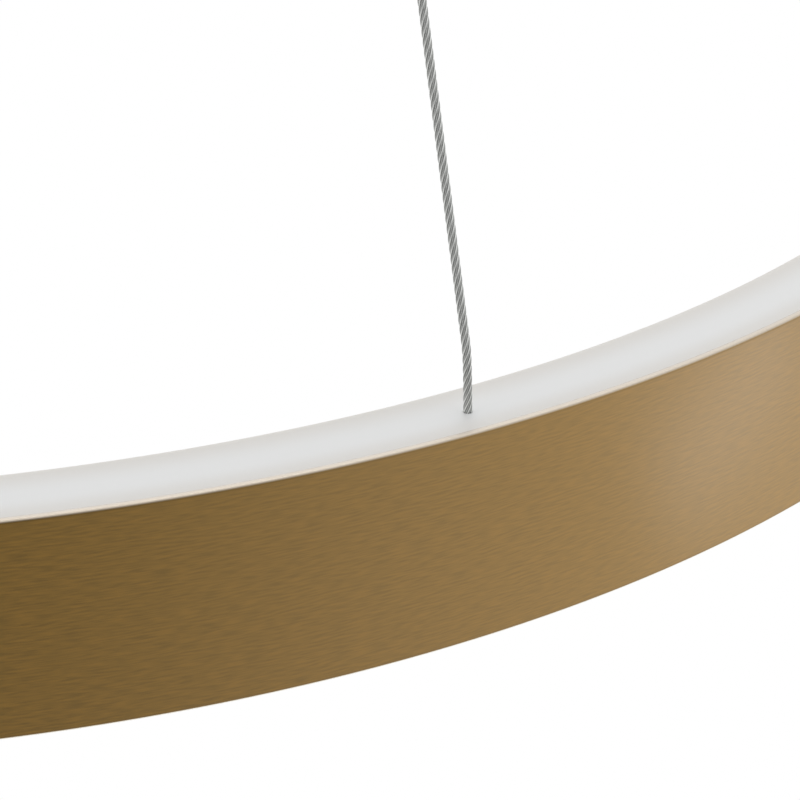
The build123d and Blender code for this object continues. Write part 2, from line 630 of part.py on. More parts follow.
washer_under = -PLATE_THICKNESS - EARTH_WASHER_THICKNESS
with BuildPart() as earth_washer:
    with BuildSketch(Plane((*EARTH_SCREW_AT, washer_under))):
        Circle(EARTH_WASHER / 2)
        Circle(EARTH_SCREW / 2 + HOLE_FIT, mode=Mode.SUBTRACT)
    extrude(amount=EARTH_WASHER_THICKNESS)
save(earth_washer, "earth_washer")

with BuildPart() as earth_screw:
    length = EARTH_WASHER_THICKNESS + PLATE_THICKNESS
    pan_screw(*EARTH_SCREW_AT, washer_under, EARTH_SCREW, length, EARTH_HEAD, EARTH_HEAD_HEIGHT)
save(earth_screw, "earth_screw")

# Outlet where the supply flex leaves the canopy: a gland with a tapered nose, and its nut
with BuildPart() as outlet_gland:
    with BuildSketch(Plane((outlet_x, outlet_y, floor_under))):
        Circle(OUTLET_NECK / 2)
    extrude(amount=OUTLET_NECK_ABOVE)
    with BuildSketch(downward(outlet_x, outlet_y, floor_under)):
        Circle(OUTLET_FLANGE / 2)
    extrude(amount=OUTLET_FLANGE_HEIGHT)
    with BuildSketch(downward(outlet_x, outlet_y, floor_under - OUTLET_FLANGE_HEIGHT)):
        Circle(OUTLET_FLANGE / 2 - HOLE_FIT)
    with BuildSketch(downward(outlet_x, outlet_y, floor_under - OUTLET_FLANGE_HEIGHT - OUTLET_NOSE_LENGTH)):
        Circle(OUTLET_NOSE / 2)
    loft()
    with Locations((outlet_x, outlet_y, floor_under + OUTLET_NECK_ABOVE)):
        Hole(FEED_BORE / 2)
save(outlet_gland, "outlet_gland")

with BuildPart() as outlet_nut:
    with BuildSketch(Plane((outlet_x, outlet_y, floor_top))):
        RegularPolygon(OUTLET_NUT_FLATS / 2, 6, major_radius=False)
        Circle(OUTLET_NECK / 2 + THREAD_FIT, mode=Mode.SUBTRACT)
    extrude(amount=OUTLET_NUT_HEIGHT)
save(outlet_nut, "outlet_nut")

# Junction: a small block on the canopy's floor where the driver's lead meets the supply flex
junction_x = outlet_x + JUNCTION_FROM_OUTLET
with BuildPart() as feed_junction:
    with BuildSketch(Plane((junction_x, outlet_y, floor_top))):
        RectangleRounded(JUNCTION_LENGTH, JUNCTION_WIDTH, 1.0)
    extrude(amount=JUNCTION_HEIGHT)
save(feed_junction, "feed_junction")


def lead(points):
    """A round lead through those points, with each corner rounded, in the part that is open."""
    with BuildLine() as route:
        FilletPolyline(*points, radius=LEAD_BEND)
    with BuildSketch(Plane(origin=route.line @ 0, z_dir=route.line % 0)) as section:
        Circle(LEAD_DIAMETER / 2)
    sweep(section.sketch, path=route.line)


# Leads: one from the terminal block to the driver, one from the driver to the junction
terminal_end = -terminal_length / 2
driver_end = DRIVER_LENGTH / 2
lead_swing = driver_end + 2 * LEAD_BEND
junction_level = floor_top + JUNCTION_HEIGHT / 2
with BuildPart() as driver_input_lead:
    lead(
        [
            (terminal_end, TERMINAL_ASIDE, LEAD_LEVEL),
            (terminal_end - 3 * LEAD_BEND, TERMINAL_ASIDE, LEAD_LEVEL),
            (-lead_swing, TERMINAL_ASIDE / 2, LEAD_LEVEL),
            (-lead_swing, lead_y, LEAD_LEVEL),
            (-driver_end + DRIVER_WALL, lead_y, LEAD_LEVEL),
        ]
    )
save(driver_input_lead, "driver_input_lead")

with BuildPart() as driver_output_lead:
    lead(
        [
            (driver_end - DRIVER_WALL, lead_y, LEAD_LEVEL),
            (lead_swing, lead_y, LEAD_LEVEL),
            (lead_swing, outlet_y, junction_level),
            (junction_x + JUNCTION_LENGTH / 2, outlet_y, junction_level),
        ]
    )
save(driver_output_lead, "driver_output_lead")

# Grippers: the barrel hangs under the canopy's floor and is held by a nut above it
chamber_radius = CHAMBER_DIAMETER / 2
cone_slope = (chamber_radius - guide_radius) / CONE_LENGTH
flange_under = cone_low + (CAGE_FLANGE / 2 + THREAD_FIT - guide_radius) / cone_slope
flange_top = flange_under + CAGE_FLANGE_THICKNESS
ball_radius = BALL_DIAMETER / 2
ball_out = WIRE_DIAMETER / 2 + ball_radius + BALL_FIT
ball_wall = ball_out + (ball_radius + BALL_FIT) * sqrt(1 + cone_slope**2)
ball_level = cone_low + (ball_wall - guide_radius) / cone_slope
for side, angle in WIRE_ANGLES.items():
    centre = polar(gripper_radius, angle, 0)
    axis = Axis(centre, (0, 0, 1))
    half_plane = Plane(origin=centre, x_dir=(1, 0, 0), z_dir=(0, -1, 0))

    with BuildPart() as gripper_barrel:
        with BuildSketch(half_plane):
            with BuildLine():
                Polyline(
                    (guide_radius, barrel_under),
                    (GRIPPER_BARREL / 2, barrel_under),
                    (GRIPPER_BARREL / 2, floor_under),
                    (GRIPPER_NECK / 2, floor_under),
                    (GRIPPER_NECK / 2, neck_top),
                    (GRIPPER_TOP_HOLE / 2, neck_top),
                    (GRIPPER_TOP_HOLE / 2, chamber_top),
                    (chamber_radius, chamber_top),
                    (chamber_radius, cone_high),
                    (guide_radius, cone_low),
                    close=True,
                )
            make_face()
        revolve(axis=axis)
        rims = gripper_barrel.faces().sort_by(Axis.Z)[0].outer_wire().edges()
        chamfer(rims, NOZZLE_HEAD_LENGTH / 5)
    save(gripper_barrel, f"gripper_barrel_{side}")

    with BuildPart() as gripper_nut:
        with BuildSketch(Plane((centre[0], centre[1], floor_top))):
            RegularPolygon(GRIPPER_NUT_FLATS / 2, 6, major_radius=False)
            Circle(GRIPPER_NECK / 2 + THREAD_FIT, mode=Mode.SUBTRACT)
        extrude(amount=GRIPPER_NUT_HEIGHT)
    save(gripper_nut, f"gripper_nut_{side}")

    with BuildPart() as gripper_spring:
        with BuildSketch(Plane((centre[0], centre[1], flange_top))):
            Circle(SPRING_OUTER / 2)
            Circle(SPRING_INNER / 2, mode=Mode.SUBTRACT)
        extrude(amount=chamber_top - flange_top)
    save(gripper_spring, f"gripper_spring_{side}")

    with BuildPart() as gripper_nozzle:
        with BuildSketch(half_plane):
            with BuildLine():
                Polyline(
                    (NOZZLE_MOUTH / 2, nozzle_mouth),
                    (NOZZLE_HEAD / 2, nozzle_mouth),
                    (NOZZLE_HEAD / 2, nozzle_head_top),
                    (NOZZLE_SHAFT / 2, nozzle_head_top),
                    (NOZZLE_SHAFT / 2, flange_under),
                    (CAGE_FLANGE / 2, flange_under),
                    (CAGE_FLANGE / 2, flange_top),
                    (NOZZLE_BORE / 2, flange_top),
                    (NOZZLE_BORE / 2, nozzle_head_top),
                    close=True,
                )
            make_face()
        revolve(axis=axis)
        head_rims = gripper_nozzle.edges().group_by(Axis.Z)[0].sort_by(SortBy.RADIUS)[-1]
        fillet(head_rims, (NOZZLE_HEAD - NOZZLE_MOUTH) / 4)
        for i in range(BALL_COUNT):
            turn = radians(angle + i * 360 / BALL_COUNT)
            with BuildSketch(Plane((centre[0], centre[1], ball_level), z_dir=(cos(turn), sin(turn), 0))):
                Circle(ball_radius + BALL_FIT)
            extrude(amount=NOZZLE_SHAFT, mode=Mode.SUBTRACT)
    save(gripper_nozzle, f"gripper_nozzle_{side}")

    with BuildPart(Plane((centre[0], centre[1], ball_level))) as gripper_balls:
        with PolarLocations(ball_out, BALL_COUNT, angle):
            Sphere(ball_radius)
    save(gripper_balls, f"gripper_balls_{side}")

# Suspension wires: upright through the ring, leaning in along one straight run, upright through the gripper
for side, angle in WIRE_ANGLES.items():
    corners = [
        polar(wire_radius, angle, stop_bottom - WIRE_DIAMETER),
        polar(wire_radius, angle, ring_top + WIRE_STUB),
        polar(gripper_radius, angle, nozzle_mouth - WIRE_STUB),
        polar(gripper_radius, angle, neck_top + WIRE_TAIL),
    ]
    with BuildPart() as suspension_wire:
        with BuildLine():
            wire_route = FilletPolyline(*corners, radius=WIRE_BEND)
        with BuildSketch(Plane(corners[0])):
            Circle(WIRE_DIAMETER / 2)
        sweep(path=wire_route)
    save(suspension_wire, f"suspension_wire_{side}")
    tube = pi * WIRE_DIAMETER**2 / 4 * wire_route.length
    print(f"wire {side}: {wire_route.length:.1f} mm long, bends of {WIRE_BEND:g} mm radius")
    print(f"wire {side}: volume {suspension_wire.part.volume / tube:.4f} of its section times its length")

lean = (wire_radius - gripper_radius) / (nozzle_mouth - ring_top - 2 * WIRE_STUB)
print(f"wires lean in by {lean:.4f} for each unit of height")
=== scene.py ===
"""LED ring pendant light: its visible pieces, its finishes and a plain studio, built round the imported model.

Metres, +Z up, with the origin on the ceiling in the middle of the canopy. The file is laid out as an add-on:
each operator makes one piece or one group of like pieces, and main() calls them in order.
"""

from math import asin, cos, hypot, pi, radians, sin, tau

import bpy
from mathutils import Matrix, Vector


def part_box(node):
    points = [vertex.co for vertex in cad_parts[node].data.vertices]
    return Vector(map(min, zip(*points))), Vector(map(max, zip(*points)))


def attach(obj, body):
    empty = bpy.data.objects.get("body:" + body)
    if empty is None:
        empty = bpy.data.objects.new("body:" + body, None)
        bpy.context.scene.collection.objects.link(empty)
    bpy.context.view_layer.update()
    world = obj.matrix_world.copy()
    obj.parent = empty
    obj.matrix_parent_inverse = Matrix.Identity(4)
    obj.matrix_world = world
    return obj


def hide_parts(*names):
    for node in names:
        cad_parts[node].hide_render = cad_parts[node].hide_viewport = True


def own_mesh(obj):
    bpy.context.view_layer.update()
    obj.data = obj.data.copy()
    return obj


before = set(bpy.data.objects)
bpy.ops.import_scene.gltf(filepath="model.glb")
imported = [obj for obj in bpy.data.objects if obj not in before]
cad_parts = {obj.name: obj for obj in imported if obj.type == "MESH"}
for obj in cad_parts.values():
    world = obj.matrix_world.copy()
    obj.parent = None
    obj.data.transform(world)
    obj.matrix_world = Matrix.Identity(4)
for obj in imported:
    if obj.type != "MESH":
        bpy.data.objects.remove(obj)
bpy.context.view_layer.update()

bl_info = {
    "name": "LED ring pendant",
    "version": (1, 0, 0),
    "blender": (4, 5, 0),
    "location": "3D View > Sidebar > Pendant",
    "description": "Dresses the LED ring pendant: ring, ropes, canopy, grippers, finishes and studio",
    "category": "Add Mesh",
}

MM = 0.001
SIDES = {"front": radians(-90), "right": radians(30), "left": radians(150)}
SEAM_ANGLE = radians(90)

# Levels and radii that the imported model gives, rounded to a tenth of a millimetre
RING_RADIUS = round(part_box("ring_band")[1].x, 4)
RING_TOP = round(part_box("ring_band")[1].z, 4)
RING_BOTTOM = round(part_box("ring_band")[0].z, 4)
RING_MIDDLE = (RING_TOP + RING_BOTTOM) / 2
RING_HEIGHT = RING_TOP - RING_BOTTOM
CANOPY_RADIUS = round(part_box("canopy_cup")[1].x, 4)
CANOPY_UNDER = round(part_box("canopy_cup")[0].z, 4)
NOZZLE_MOUTH = round(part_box("gripper_nozzle_front")[0].z, 4)
GRIPPER_RADIUS = round(-sum(corner.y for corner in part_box("gripper_barrel_front")) / 2, 4)
WIRE_FOOT = round(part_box("suspension_wire_front")[0].z, 4)
WIRE_HEAD = round(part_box("suspension_wire_front")[1].z, 4)


def linear(hex_colour):
    """A colour written as an sRGB hex value, as the linear numbers that the shaders work in."""
    channels = [int(hex_colour[i : i + 2], 16) / 255 for i in (1, 3, 5)]
    return [c / 12.92 if c <= 0.04045 else ((c + 0.055) / 1.055) ** 2.4 for c in channels]


def length(name, description, millimetres):
    """A length that a user may change, written in millimetres."""
    return bpy.props.FloatProperty(
        name=name, description=description, default=millimetres * MM, unit="LENGTH", precision=5
    )


def colour(name, description, hex_colour):
    """A colour that a user may change, written as an sRGB hex value."""
    return bpy.props.FloatVectorProperty(
        name=name, description=description, default=linear(hex_colour), subtype="COLOR", min=0, max=1
    )


class RingSizes(bpy.types.PropertyGroup):
    """Sizes of the ring's band and diffuser"""

    width: length("Ring width", "From the band's outside to the diffuser's inside", 18)
    band_wall: length("Band wall", "Thickness of the rolled band", 1.3)
    band_edge: length("Band edge", "Radius of the band's outer edges", 0.45)
    diffuser_wall: length("Diffuser wall", "Thickness of the opal channel", 1.8)
    diffuser_corner: length("Diffuser corner", "Radius of the channel's two inner corners", 2.7)
    wire_hole: length("Wire hole", "Radius of the hole that each rope comes out of", 0.86)
    feed_hole: length("Feed hole", "Radius of the hole that holds the feed bush", 3.1)
    wire_inset: length("Wire inset", "From the band's outside to a rope's middle", 7.6)


class RopeSizes(bpy.types.PropertyGroup):
    """Sizes of the three suspension ropes"""

    diameter: length("Rope diameter", "Across the rope, over its strands", 1.62)
    lay: length("Lay length", "Length of rope in which a strand goes once round", 10.9)
    strands: bpy.props.IntProperty(
        name="Outer strands", description="Strands that show round the rope", default=6, min=3, max=12
    )


class CanopySizes(bpy.types.PropertyGroup):
    """Sizes of the ceiling canopy's shell and of the springs in its grippers"""

    wall: length("Canopy wall", "Thickness of the spun cup", 1.2)
    corner: length("Canopy corner", "Outer radius between the cup's side and its floor", 5)
    neck_hole: length("Neck hole", "Radius of the holes for the grippers and the gland", 4.15)
    screw_hole: length("Screw hole", "Radius of the two side holes", 2.25)
    spring_wire: length("Spring wire", "Diameter of the wire that the grippers' springs are wound from", 0.7)


class FinishColours(bpy.types.PropertyGroup):
    """Colours of the finishes"""

    brass_tone: colour("Brass tone", "Dye in the band's anodised skin", "#A68239")
    # Painted shade: a darker line along the band's edges, just short of their roundings and on them
    edge_shade: colour("Edge tone", "The same dye where it is thick, along the band's edges", "#977634")
    cut_edge: colour("Cut edge", "Bare metal on the band's sawn and rounded edges", "#CEC8C0")
    cut_rim: colour("Cut rim", "The same metal towards the band's outside, warm from the dye", "#D0C6B8")
    # Painted highlight round the band's lower edge: a painted reflection of the white floor
    foot_highlight: colour("Cut foot", "The same metal round the band's lower edge, polished", "#ECE6DA")
    opal: colour("Opal", "Diffuser", "#EFF0F0")
    # Painted shade: the opal darker and warmer near its edges, with painted warm light from the band at its
    # outer edge
    opal_edge_shade: colour("Opal edge", "Diffuser near its edges, where it is thickest", "#E4E1DC")
    satin_brass: colour("Satin brass", "Turned fittings", "#B08D55")
    # Painted highlight along each strand's crown, and painted shade on its flanks
    rope_crown_highlight: colour("Rope steel", "Crowns of the rope's strands", "#FAFBF9")
    rope_flank_shade: colour("Rope groove", "Flanks of the rope's strands, beside their crowns", "#A1A2A0")
    zinc: colour("Zinc", "Plated screws, nuts and plate", "#C3C5C8")
    brass: colour("Brass", "Earth washer", "#C79F55")
    aluminium: colour("Aluminium", "Shoes, anchors and wire stops", "#C9CACC")
    nylon: colour("White nylon", "Driver case, terminal block and connectors", "#EDECE6")
    clear_nylon: colour("Clear nylon", "Bush, gland and its nut", "#E6E8E5")
    tape: colour("Tape", "Solder mask on the LED tape", "#F1F0EA")
    phosphor: colour("Phosphor", "Face of each LED chip", "#EBC94F")
    board: colour("Board", "Solder mask on the driver's board", "#1D5C38")
    resin: colour("Resin", "Bodies of the driver's parts", "#25262A")
    sheath: colour("Sheath", "Leads inside the canopy", "#BDBDBB")


class StudioSettings(bpy.types.PropertyGroup):
    """Camera, floor and light"""

    camera_place: bpy.props.FloatVectorProperty(
        name="Camera place", description="Where the camera stands", default=(-0.2340, -0.6686, -0.4491),
        subtype="TRANSLATION", unit="LENGTH", precision=4
    )
    camera_heading: bpy.props.FloatProperty(
        name="Camera heading", description="Turn from +Y towards +X", default=radians(30.32),
        subtype="ANGLE"
    )
    camera_pitch: bpy.props.FloatProperty(
        name="Camera pitch", description="How far the camera looks down", default=radians(27.30),
        subtype="ANGLE"
    )
    camera_lens: bpy.props.FloatProperty(
        name="Camera lens", description="Focal length on a 36 mm sensor", default=126.3, min=1,
        unit="CAMERA"
    )
    floor_drop: length("Floor drop", "From the ring's underside down to the floor", 600)
    floor_radius: length("Floor radius", "Radius of the floor disc", 500)
    floor_tone: colour("Floor tone", "Matt white of the floor", "#E7E7E7")
    camera_side: bpy.props.FloatProperty(
        name="Camera side", description="Brightness of the surroundings behind the camera",
        default=0.15, min=0
    )
    far_side: bpy.props.FloatProperty(
        name="Far side", description="Brightness of the surroundings beyond the ring",
        default=0.85, min=0
    )
    overhead_power: bpy.props.FloatProperty(
        name="Overhead power", description="Power of the overhead softbox",
        default=6.3, min=0, unit="POWER"
    )
    side_power: bpy.props.FloatProperty(
        name="Side power", description="Power of the small softbox at the side",
        default=0.0236, min=0, unit="POWER"
    )


class PendantSettings(bpy.types.PropertyGroup):
    """All that a user may change"""

    ring: bpy.props.PointerProperty(type=RingSizes)
    rope: bpy.props.PointerProperty(type=RopeSizes)
    canopy: bpy.props.PointerProperty(type=CanopySizes)
    colours: bpy.props.PointerProperty(type=FinishColours)
    studio: bpy.props.PointerProperty(type=StudioSettings)


# Modelling

# How finely the round shapes are divided
ROUND_SEGMENTS = 6
DRILL_SIDES = 48
RING_STEPS = 720
NOTCH_STEPS = 24
CANOPY_STEPS = 240

# Beside each rounding a narrow row of faces keeps the flats next to it flat to the eye
SHOULDER = 0.3 * MM

# How long the drills are: in walls for the diffuser and the canopy's floor, in canopy radii for its side
DIFFUSER_DRILL = 4
FLOOR_DRILL = 6
SIDE_DRILL = 3

# Distances in metres within which a vertex is found by its place, and within which vertices are merged
SAME_PLACE = 1e-6
MERGE_WITHIN = 1e-7

# Edges that turn by more than these angles stay sharp in the shading
SHARP_EDGE = radians(30)
ROPE_SHARP_EDGE = radians(50)
SPRING_SHARP_EDGE = radians(40)


def polar(radius, angle, height):
    """The point at that radius and angle about the ring's axis, at that height."""
    return Vector((radius * cos(angle), radius * sin(angle), height))


def draw_section(name, corners, angle):
    """Draws a closed section, point by point, on the upright plane at that angle, and stays in edit mode.

    Each corner is (radius, height) or (radius, height, rounding), in metres.
    """
    bpy.ops.object.select_all(action="DESELECT")
    bpy.ops.mesh.primitive_plane_add(size=MM, enter_editmode=True)
    bpy.context.object.name = name
    bpy.ops.mesh.merge(type="CENTER")
    places = [polar(corner[0], angle, corner[1]) for corner in corners]
    bpy.ops.transform.translate(value=places[0])
    for before, after in zip(places, places[1:]):
        bpy.ops.mesh.extrude_region_move(TRANSFORM_OT_translate={"value": after - before})
    bpy.ops.mesh.select_all(action="SELECT")
    bpy.ops.mesh.edge_face_add()
    for corner, place in zip(corners, places):
        if len(corner) > 2:
            select_vertices(lambda point: (point - place).length < SAME_PLACE)
            bpy.ops.mesh.bevel(offset=corner[2], segments=ROUND_SEGMENTS, affect="VERTICES")
    bpy.ops.mesh.select_all(action="SELECT")
    bpy.ops.mesh.delete(type="ONLY_FACE")
    bpy.ops.mesh.select_all(action="SELECT")
    return bpy.context.object


def select_vertices(chosen):
    """Selects the vertices of the mesh in edit mode whose places pass a test."""
    bpy.ops.mesh.select_mode(type="VERT")
    bpy.ops.mesh.select_all(action="DESELECT")
    bpy.ops.object.mode_set(mode="OBJECT")
    for vertex in bpy.context.object.data.vertices:
        vertex.select = chosen(vertex.co)
    bpy.ops.object.mode_set(mode="EDIT")


def spin_section(name, corners, steps, start=0.0, turn=tau):
    """Spins a section about the ring's axis into a closed piece, with ends where the turn isn't whole."""
    piece = draw_section(name, corners, start)
    bpy.ops.mesh.spin(steps=steps, angle=turn, center=(0, 0, 0), axis=(0, 0, 1), use_auto_merge=False)
    bpy.ops.mesh.select_all(action="SELECT")
    bpy.ops.mesh.remove_doubles(threshold=MERGE_WITHIN)
    bpy.ops.mesh.fill_holes(sides=0)
    bpy.ops.mesh.select_all(action="SELECT")
    bpy.ops.mesh.normals_make_consistent(inside=False)
    bpy.ops.object.mode_set(mode="OBJECT")
    return piece


def peg(place, radius, depth, direction=(0, 0, 1)):
    """A round peg, centred on a place, that cuts a hole of its size."""
    bpy.ops.object.select_all(action="DESELECT")
    turn = Vector(direction).to_track_quat("Z", "X").to_euler()
    bpy.ops.mesh.primitive_cylinder_add(
        vertices=DRILL_SIDES, radius=radius, depth=depth, location=place, rotation=turn
    )
    return bpy.context.object


def cut(piece, cutters):
    """Joins the cutters and takes their shapes out of the piece."""
    bpy.ops.object.select_all(action="DESELECT")
    for cutter in cutters:
        cutter.select_set(True)
    bpy.context.view_layer.objects.active = cutters[0]
    bpy.ops.object.join()
    bpy.ops.object.select_all(action="DESELECT")
    bpy.context.view_layer.objects.active = piece
    piece.select_set(True)
    bpy.ops.object.modifier_add(type="BOOLEAN")
    modifier = piece.modifiers[-1]
    modifier.object = cutters[0]
    modifier.solver = "MANIFOLD"
    bpy.ops.object.modifier_apply(modifier=modifier.name)
    bpy.data.objects.remove(cutters[0])
    bpy.ops.object.mode_set(mode="EDIT")
    bpy.ops.mesh.select_all(action="SELECT")
    bpy.ops.mesh.dissolve_degenerate(threshold=MERGE_WITHIN)
    bpy.ops.object.mode_set(mode="OBJECT")


def dress(piece, *names):
    """Gives the piece these finishes, the first of them all over."""
    piece.data.materials.clear()
    for name in names:
        piece.data.materials.append(bpy.data.materials[name])
    for face in piece.data.polygons:
        face.material_index = 0


def smooth(piece, angle=SHARP_EDGE):
    """Shades the piece smooth, apart from edges sharper than that angle."""
    bpy.ops.object.select_all(action="DESELECT")
    bpy.context.view_layer.objects.active = piece
    piece.select_set(True)
    bpy.ops.object.shade_smooth_by_angle(angle=angle)


# The band's inner track and the diffuser's clip, which hold the two together out of sight
LEDGE_DEPTH = 3.0 * MM
LEDGE_THICKNESS = 1.6 * MM
LIP_THICKNESS = 1.2 * MM
LIP_DROP = 2.0 * MM
TRACK_FIT = 0.1 * MM
FLANGE_FIT = 0.02 * MM
CLIP_LEG = 1.0 * MM
CLIP_BARB = 0.7 * MM
CLIP_BARB_HEIGHT = 0.8 * MM
RIB = 0.8 * MM
RIB_ASIDE = 5.1 * MM
SEAM_GAP = 0.3 * MM

# The shoes in the track, for which the diffuser's clip is notched
ANCHOR_NOTCH = 18.0 * MM
SPLICE_NOTCH = 48.0 * MM
NOTCH_GAP = 1.0 * MM


def mirrored(upper):
    """An outline's upper half, and the same again upside down, about the ring's middle height."""
    return upper + [(corner[0], 2 * RING_MIDDLE - corner[1], *corner[2:]) for corner in reversed(upper)]


class PENDANT_OT_ring_band(bpy.types.Operator):
    """Makes the rolled band with its sawn edges and the track on its inside"""

    bl_idname = "pendant.ring_band"
    bl_label = "Ring band"

    def execute(self, context):
        ring = context.scene.pendant.ring
        inner = RING_RADIUS - ring.band_wall
        ledge_end = inner - LEDGE_DEPTH
        lip_back = ledge_end + LIP_THICKNESS
        ledge_top = RING_TOP - ring.diffuser_wall
        ledge_under = ledge_top - LEDGE_THICKNESS
        lip_under = ledge_under - LIP_DROP
        rib_low = RING_MIDDLE + RIB_ASIDE
        upper = [
            (inner, rib_low),
            (inner - RIB, rib_low),
            (inner - RIB, rib_low + RIB),
            (inner, rib_low + RIB),
            (inner, ledge_under),
            (lip_back, ledge_under),
            (lip_back, lip_under),
            (ledge_end, lip_under),
            (ledge_end, ledge_top),
            (inner, ledge_top),
            (inner, RING_TOP),
            (RING_RADIUS, RING_TOP, ring.band_edge),
            (RING_RADIUS, RING_TOP - ring.band_edge - SHOULDER),
        ]
        gap = SEAM_GAP / RING_RADIUS
        band = spin_section("brushed_band", mirrored(upper), RING_STEPS, SEAM_ANGLE + gap / 2, tau - gap)
        smooth(band)
        dress(band, "anodised_aluminium_brushed_brass_tone", "aluminium_sawn_edge")
        self.share_out(band, ring)
        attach(band, "ring")
        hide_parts("ring_band")
        return {"FINISHED"}

    def share_out(self, band, ring):
        """Gives the flat sawn edges and the roundings beside them a finish of their own."""
        for face in band.data.polygons:
            high = abs(face.center.z - RING_MIDDLE) > RING_HEIGHT / 2 - ring.band_edge
            radius = hypot(face.center.x, face.center.y)
            if high and radius > RING_RADIUS - ring.band_wall + TRACK_FIT:
                face.material_index = 1


class PENDANT_OT_ring_diffuser(bpy.types.Operator):
    """Makes the opal channel, with the holes for the ropes and the feed bush"""

    bl_idname = "pendant.ring_diffuser"
    bl_label = "Ring diffuser"

    def execute(self, context):
        ring = context.scene.pendant.ring
        inner = RING_RADIUS - ring.width
        outer = RING_RADIUS - ring.band_wall - FLANGE_FIT
        hollow_top = RING_TOP - ring.diffuser_wall
        leg_outer = RING_RADIUS - ring.band_wall - LEDGE_DEPTH - TRACK_FIT
        leg_inner = leg_outer - CLIP_LEG
        barb_end = leg_outer + CLIP_BARB
        barb_top = hollow_top - LEDGE_THICKNESS - LIP_DROP - TRACK_FIT
        barb_under = barb_top - CLIP_BARB_HEIGHT
        upper = [
            (inner + ring.diffuser_wall, hollow_top, ring.diffuser_corner - ring.diffuser_wall),
            (leg_inner, hollow_top),
            (leg_inner, barb_under),
            (barb_end, barb_under),
            (barb_end, barb_top),
            (leg_outer, barb_top),
            (leg_outer, hollow_top),
            (outer, hollow_top),
            (outer, RING_TOP),
            (inner + ring.diffuser_corner + SHOULDER, RING_TOP),
            (inner, RING_TOP, ring.diffuser_corner),
            (inner, RING_TOP - ring.diffuser_corner - SHOULDER),
        ]
        gap = SEAM_GAP / RING_RADIUS
        diffuser = spin_section(
            "opal_diffuser", mirrored(upper), RING_STEPS, SEAM_ANGLE + gap / 2, tau - gap
        )
        through = DIFFUSER_DRILL * ring.diffuser_wall
        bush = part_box("ring_feed_bush")
        bush_place = ((bush[0].x + bush[1].x) / 2, (bush[0].y + bush[1].y) / 2, RING_TOP)
        cutters = [peg(bush_place, ring.feed_hole, through)]
        notch = [
            (leg_inner - NOTCH_GAP, hollow_top - FLANGE_FIT),
            (barb_end + NOTCH_GAP, hollow_top - FLANGE_FIT),
            (barb_end + NOTCH_GAP, barb_under - TRACK_FIT),
            (leg_inner - NOTCH_GAP, barb_under - TRACK_FIT),
        ]
        for angle in SIDES.values():
            wire_place = polar(RING_RADIUS - ring.wire_inset, angle, RING_TOP)
            cutters.append(peg(wire_place, ring.wire_hole, through))
            cutters.append(self.notch_cutter(notch, angle, ANCHOR_NOTCH))
        cutters.append(self.notch_cutter(notch, SEAM_ANGLE, SPLICE_NOTCH))
        cutters.append(self.notch_cutter(mirrored(notch)[len(notch):], SEAM_ANGLE, SPLICE_NOTCH))
        cut(diffuser, cutters)
        smooth(diffuser)
        dress(diffuser, "acrylic_extruded_opal")
        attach(diffuser, "ring")
        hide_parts("ring_diffuser")
        return {"FINISHED"}

    def notch_cutter(self, corners, angle, along):
        """A cutter that takes the clip's leg away over that length of the ring, centred on an angle."""
        turn = along / RING_RADIUS
        return spin_section("notch", corners, NOTCH_STEPS, angle - turn / 2, turn)


# A rope's bends: how far off the ring and the nozzle they are, how far outwards the lower one lies, which
# centres the rope in its hole, and how many rope diameters further on the run is straight
ROPE_STUB = 8.4 * MM
ROPE_BOW = 0.27 * MM
STRAIGHT_AFTER = 6

# How finely a rope is modelled: its spline, its length and the width of each strand
ROUTE_ORDER = 3
ROUTE_STEPS = 64
ROPE_STEP = 0.4 * MM
STRAND_FACES = 7

# A strand's radius as a share of the rope's, and where its crown is on the way across it
STRAND_ROUND = 0.42
CROWN = 0.5


def rope_route(angle, rope, wire_radius):
    """The rope's control points: up out of the ring, along one straight run, and up through the gripper."""
    foot = polar(wire_radius, angle, WIRE_FOOT)
    ring_corner = polar(wire_radius + ROPE_BOW, angle, RING_TOP + ROPE_STUB)
    canopy_corner = polar(GRIPPER_RADIUS, angle, NOZZLE_MOUTH - ROPE_STUB)
    head = polar(GRIPPER_RADIUS, angle, WIRE_HEAD)
    run = (canopy_corner - ring_corner).normalized() * STRAIGHT_AFTER * rope.diameter
    return [foot, ring_corner, ring_corner + run, canopy_corner - run, canopy_corner, head]


def along_ring(angle):
    """The level direction along the ring at that angle."""
    return Vector((-sin(angle), cos(angle), 0))


def route_points(points):
    """Points read from the smooth spline that has the route's points as its control points."""
    curve = bpy.data.curves.new("rope_route", "CURVE")
    curve.dimensions = "3D"
    curve.resolution_u = ROUTE_STEPS
    spline = curve.splines.new("NURBS")
    spline.points.add(len(points) - 1)
    for spot, place in zip(spline.points, points):
        spot.co = (*place, 1)
    spline.order_u = ROUTE_ORDER
    spline.use_endpoint_u = True
    guide = bpy.data.objects.new("rope_route", curve)
    mesh = bpy.data.meshes.new_from_object(guide)
    line = [vertex.co.copy() for vertex in mesh.vertices]
    bpy.data.meshes.remove(mesh)
    bpy.data.objects.remove(guide)
    bpy.data.curves.remove(curve)
    return line


def even_points(line, step):
    """Points along a line at about that step, each with the way that it has come."""
    ways = [0.0]
    for before, after in zip(line, line[1:]):
        ways.append(ways[-1] + (after - before).length)
    count = round(ways[-1] / step)
    points, part = [], 0
    for i in range(count + 1):
        way = ways[-1] * i / count
        while part < len(line) - 2 and ways[part + 1] < way:
            part += 1
        share = (way - ways[part]) / (ways[part + 1] - ways[part])
        points.append((line[part].lerp(line[part + 1], share), way))
    return points


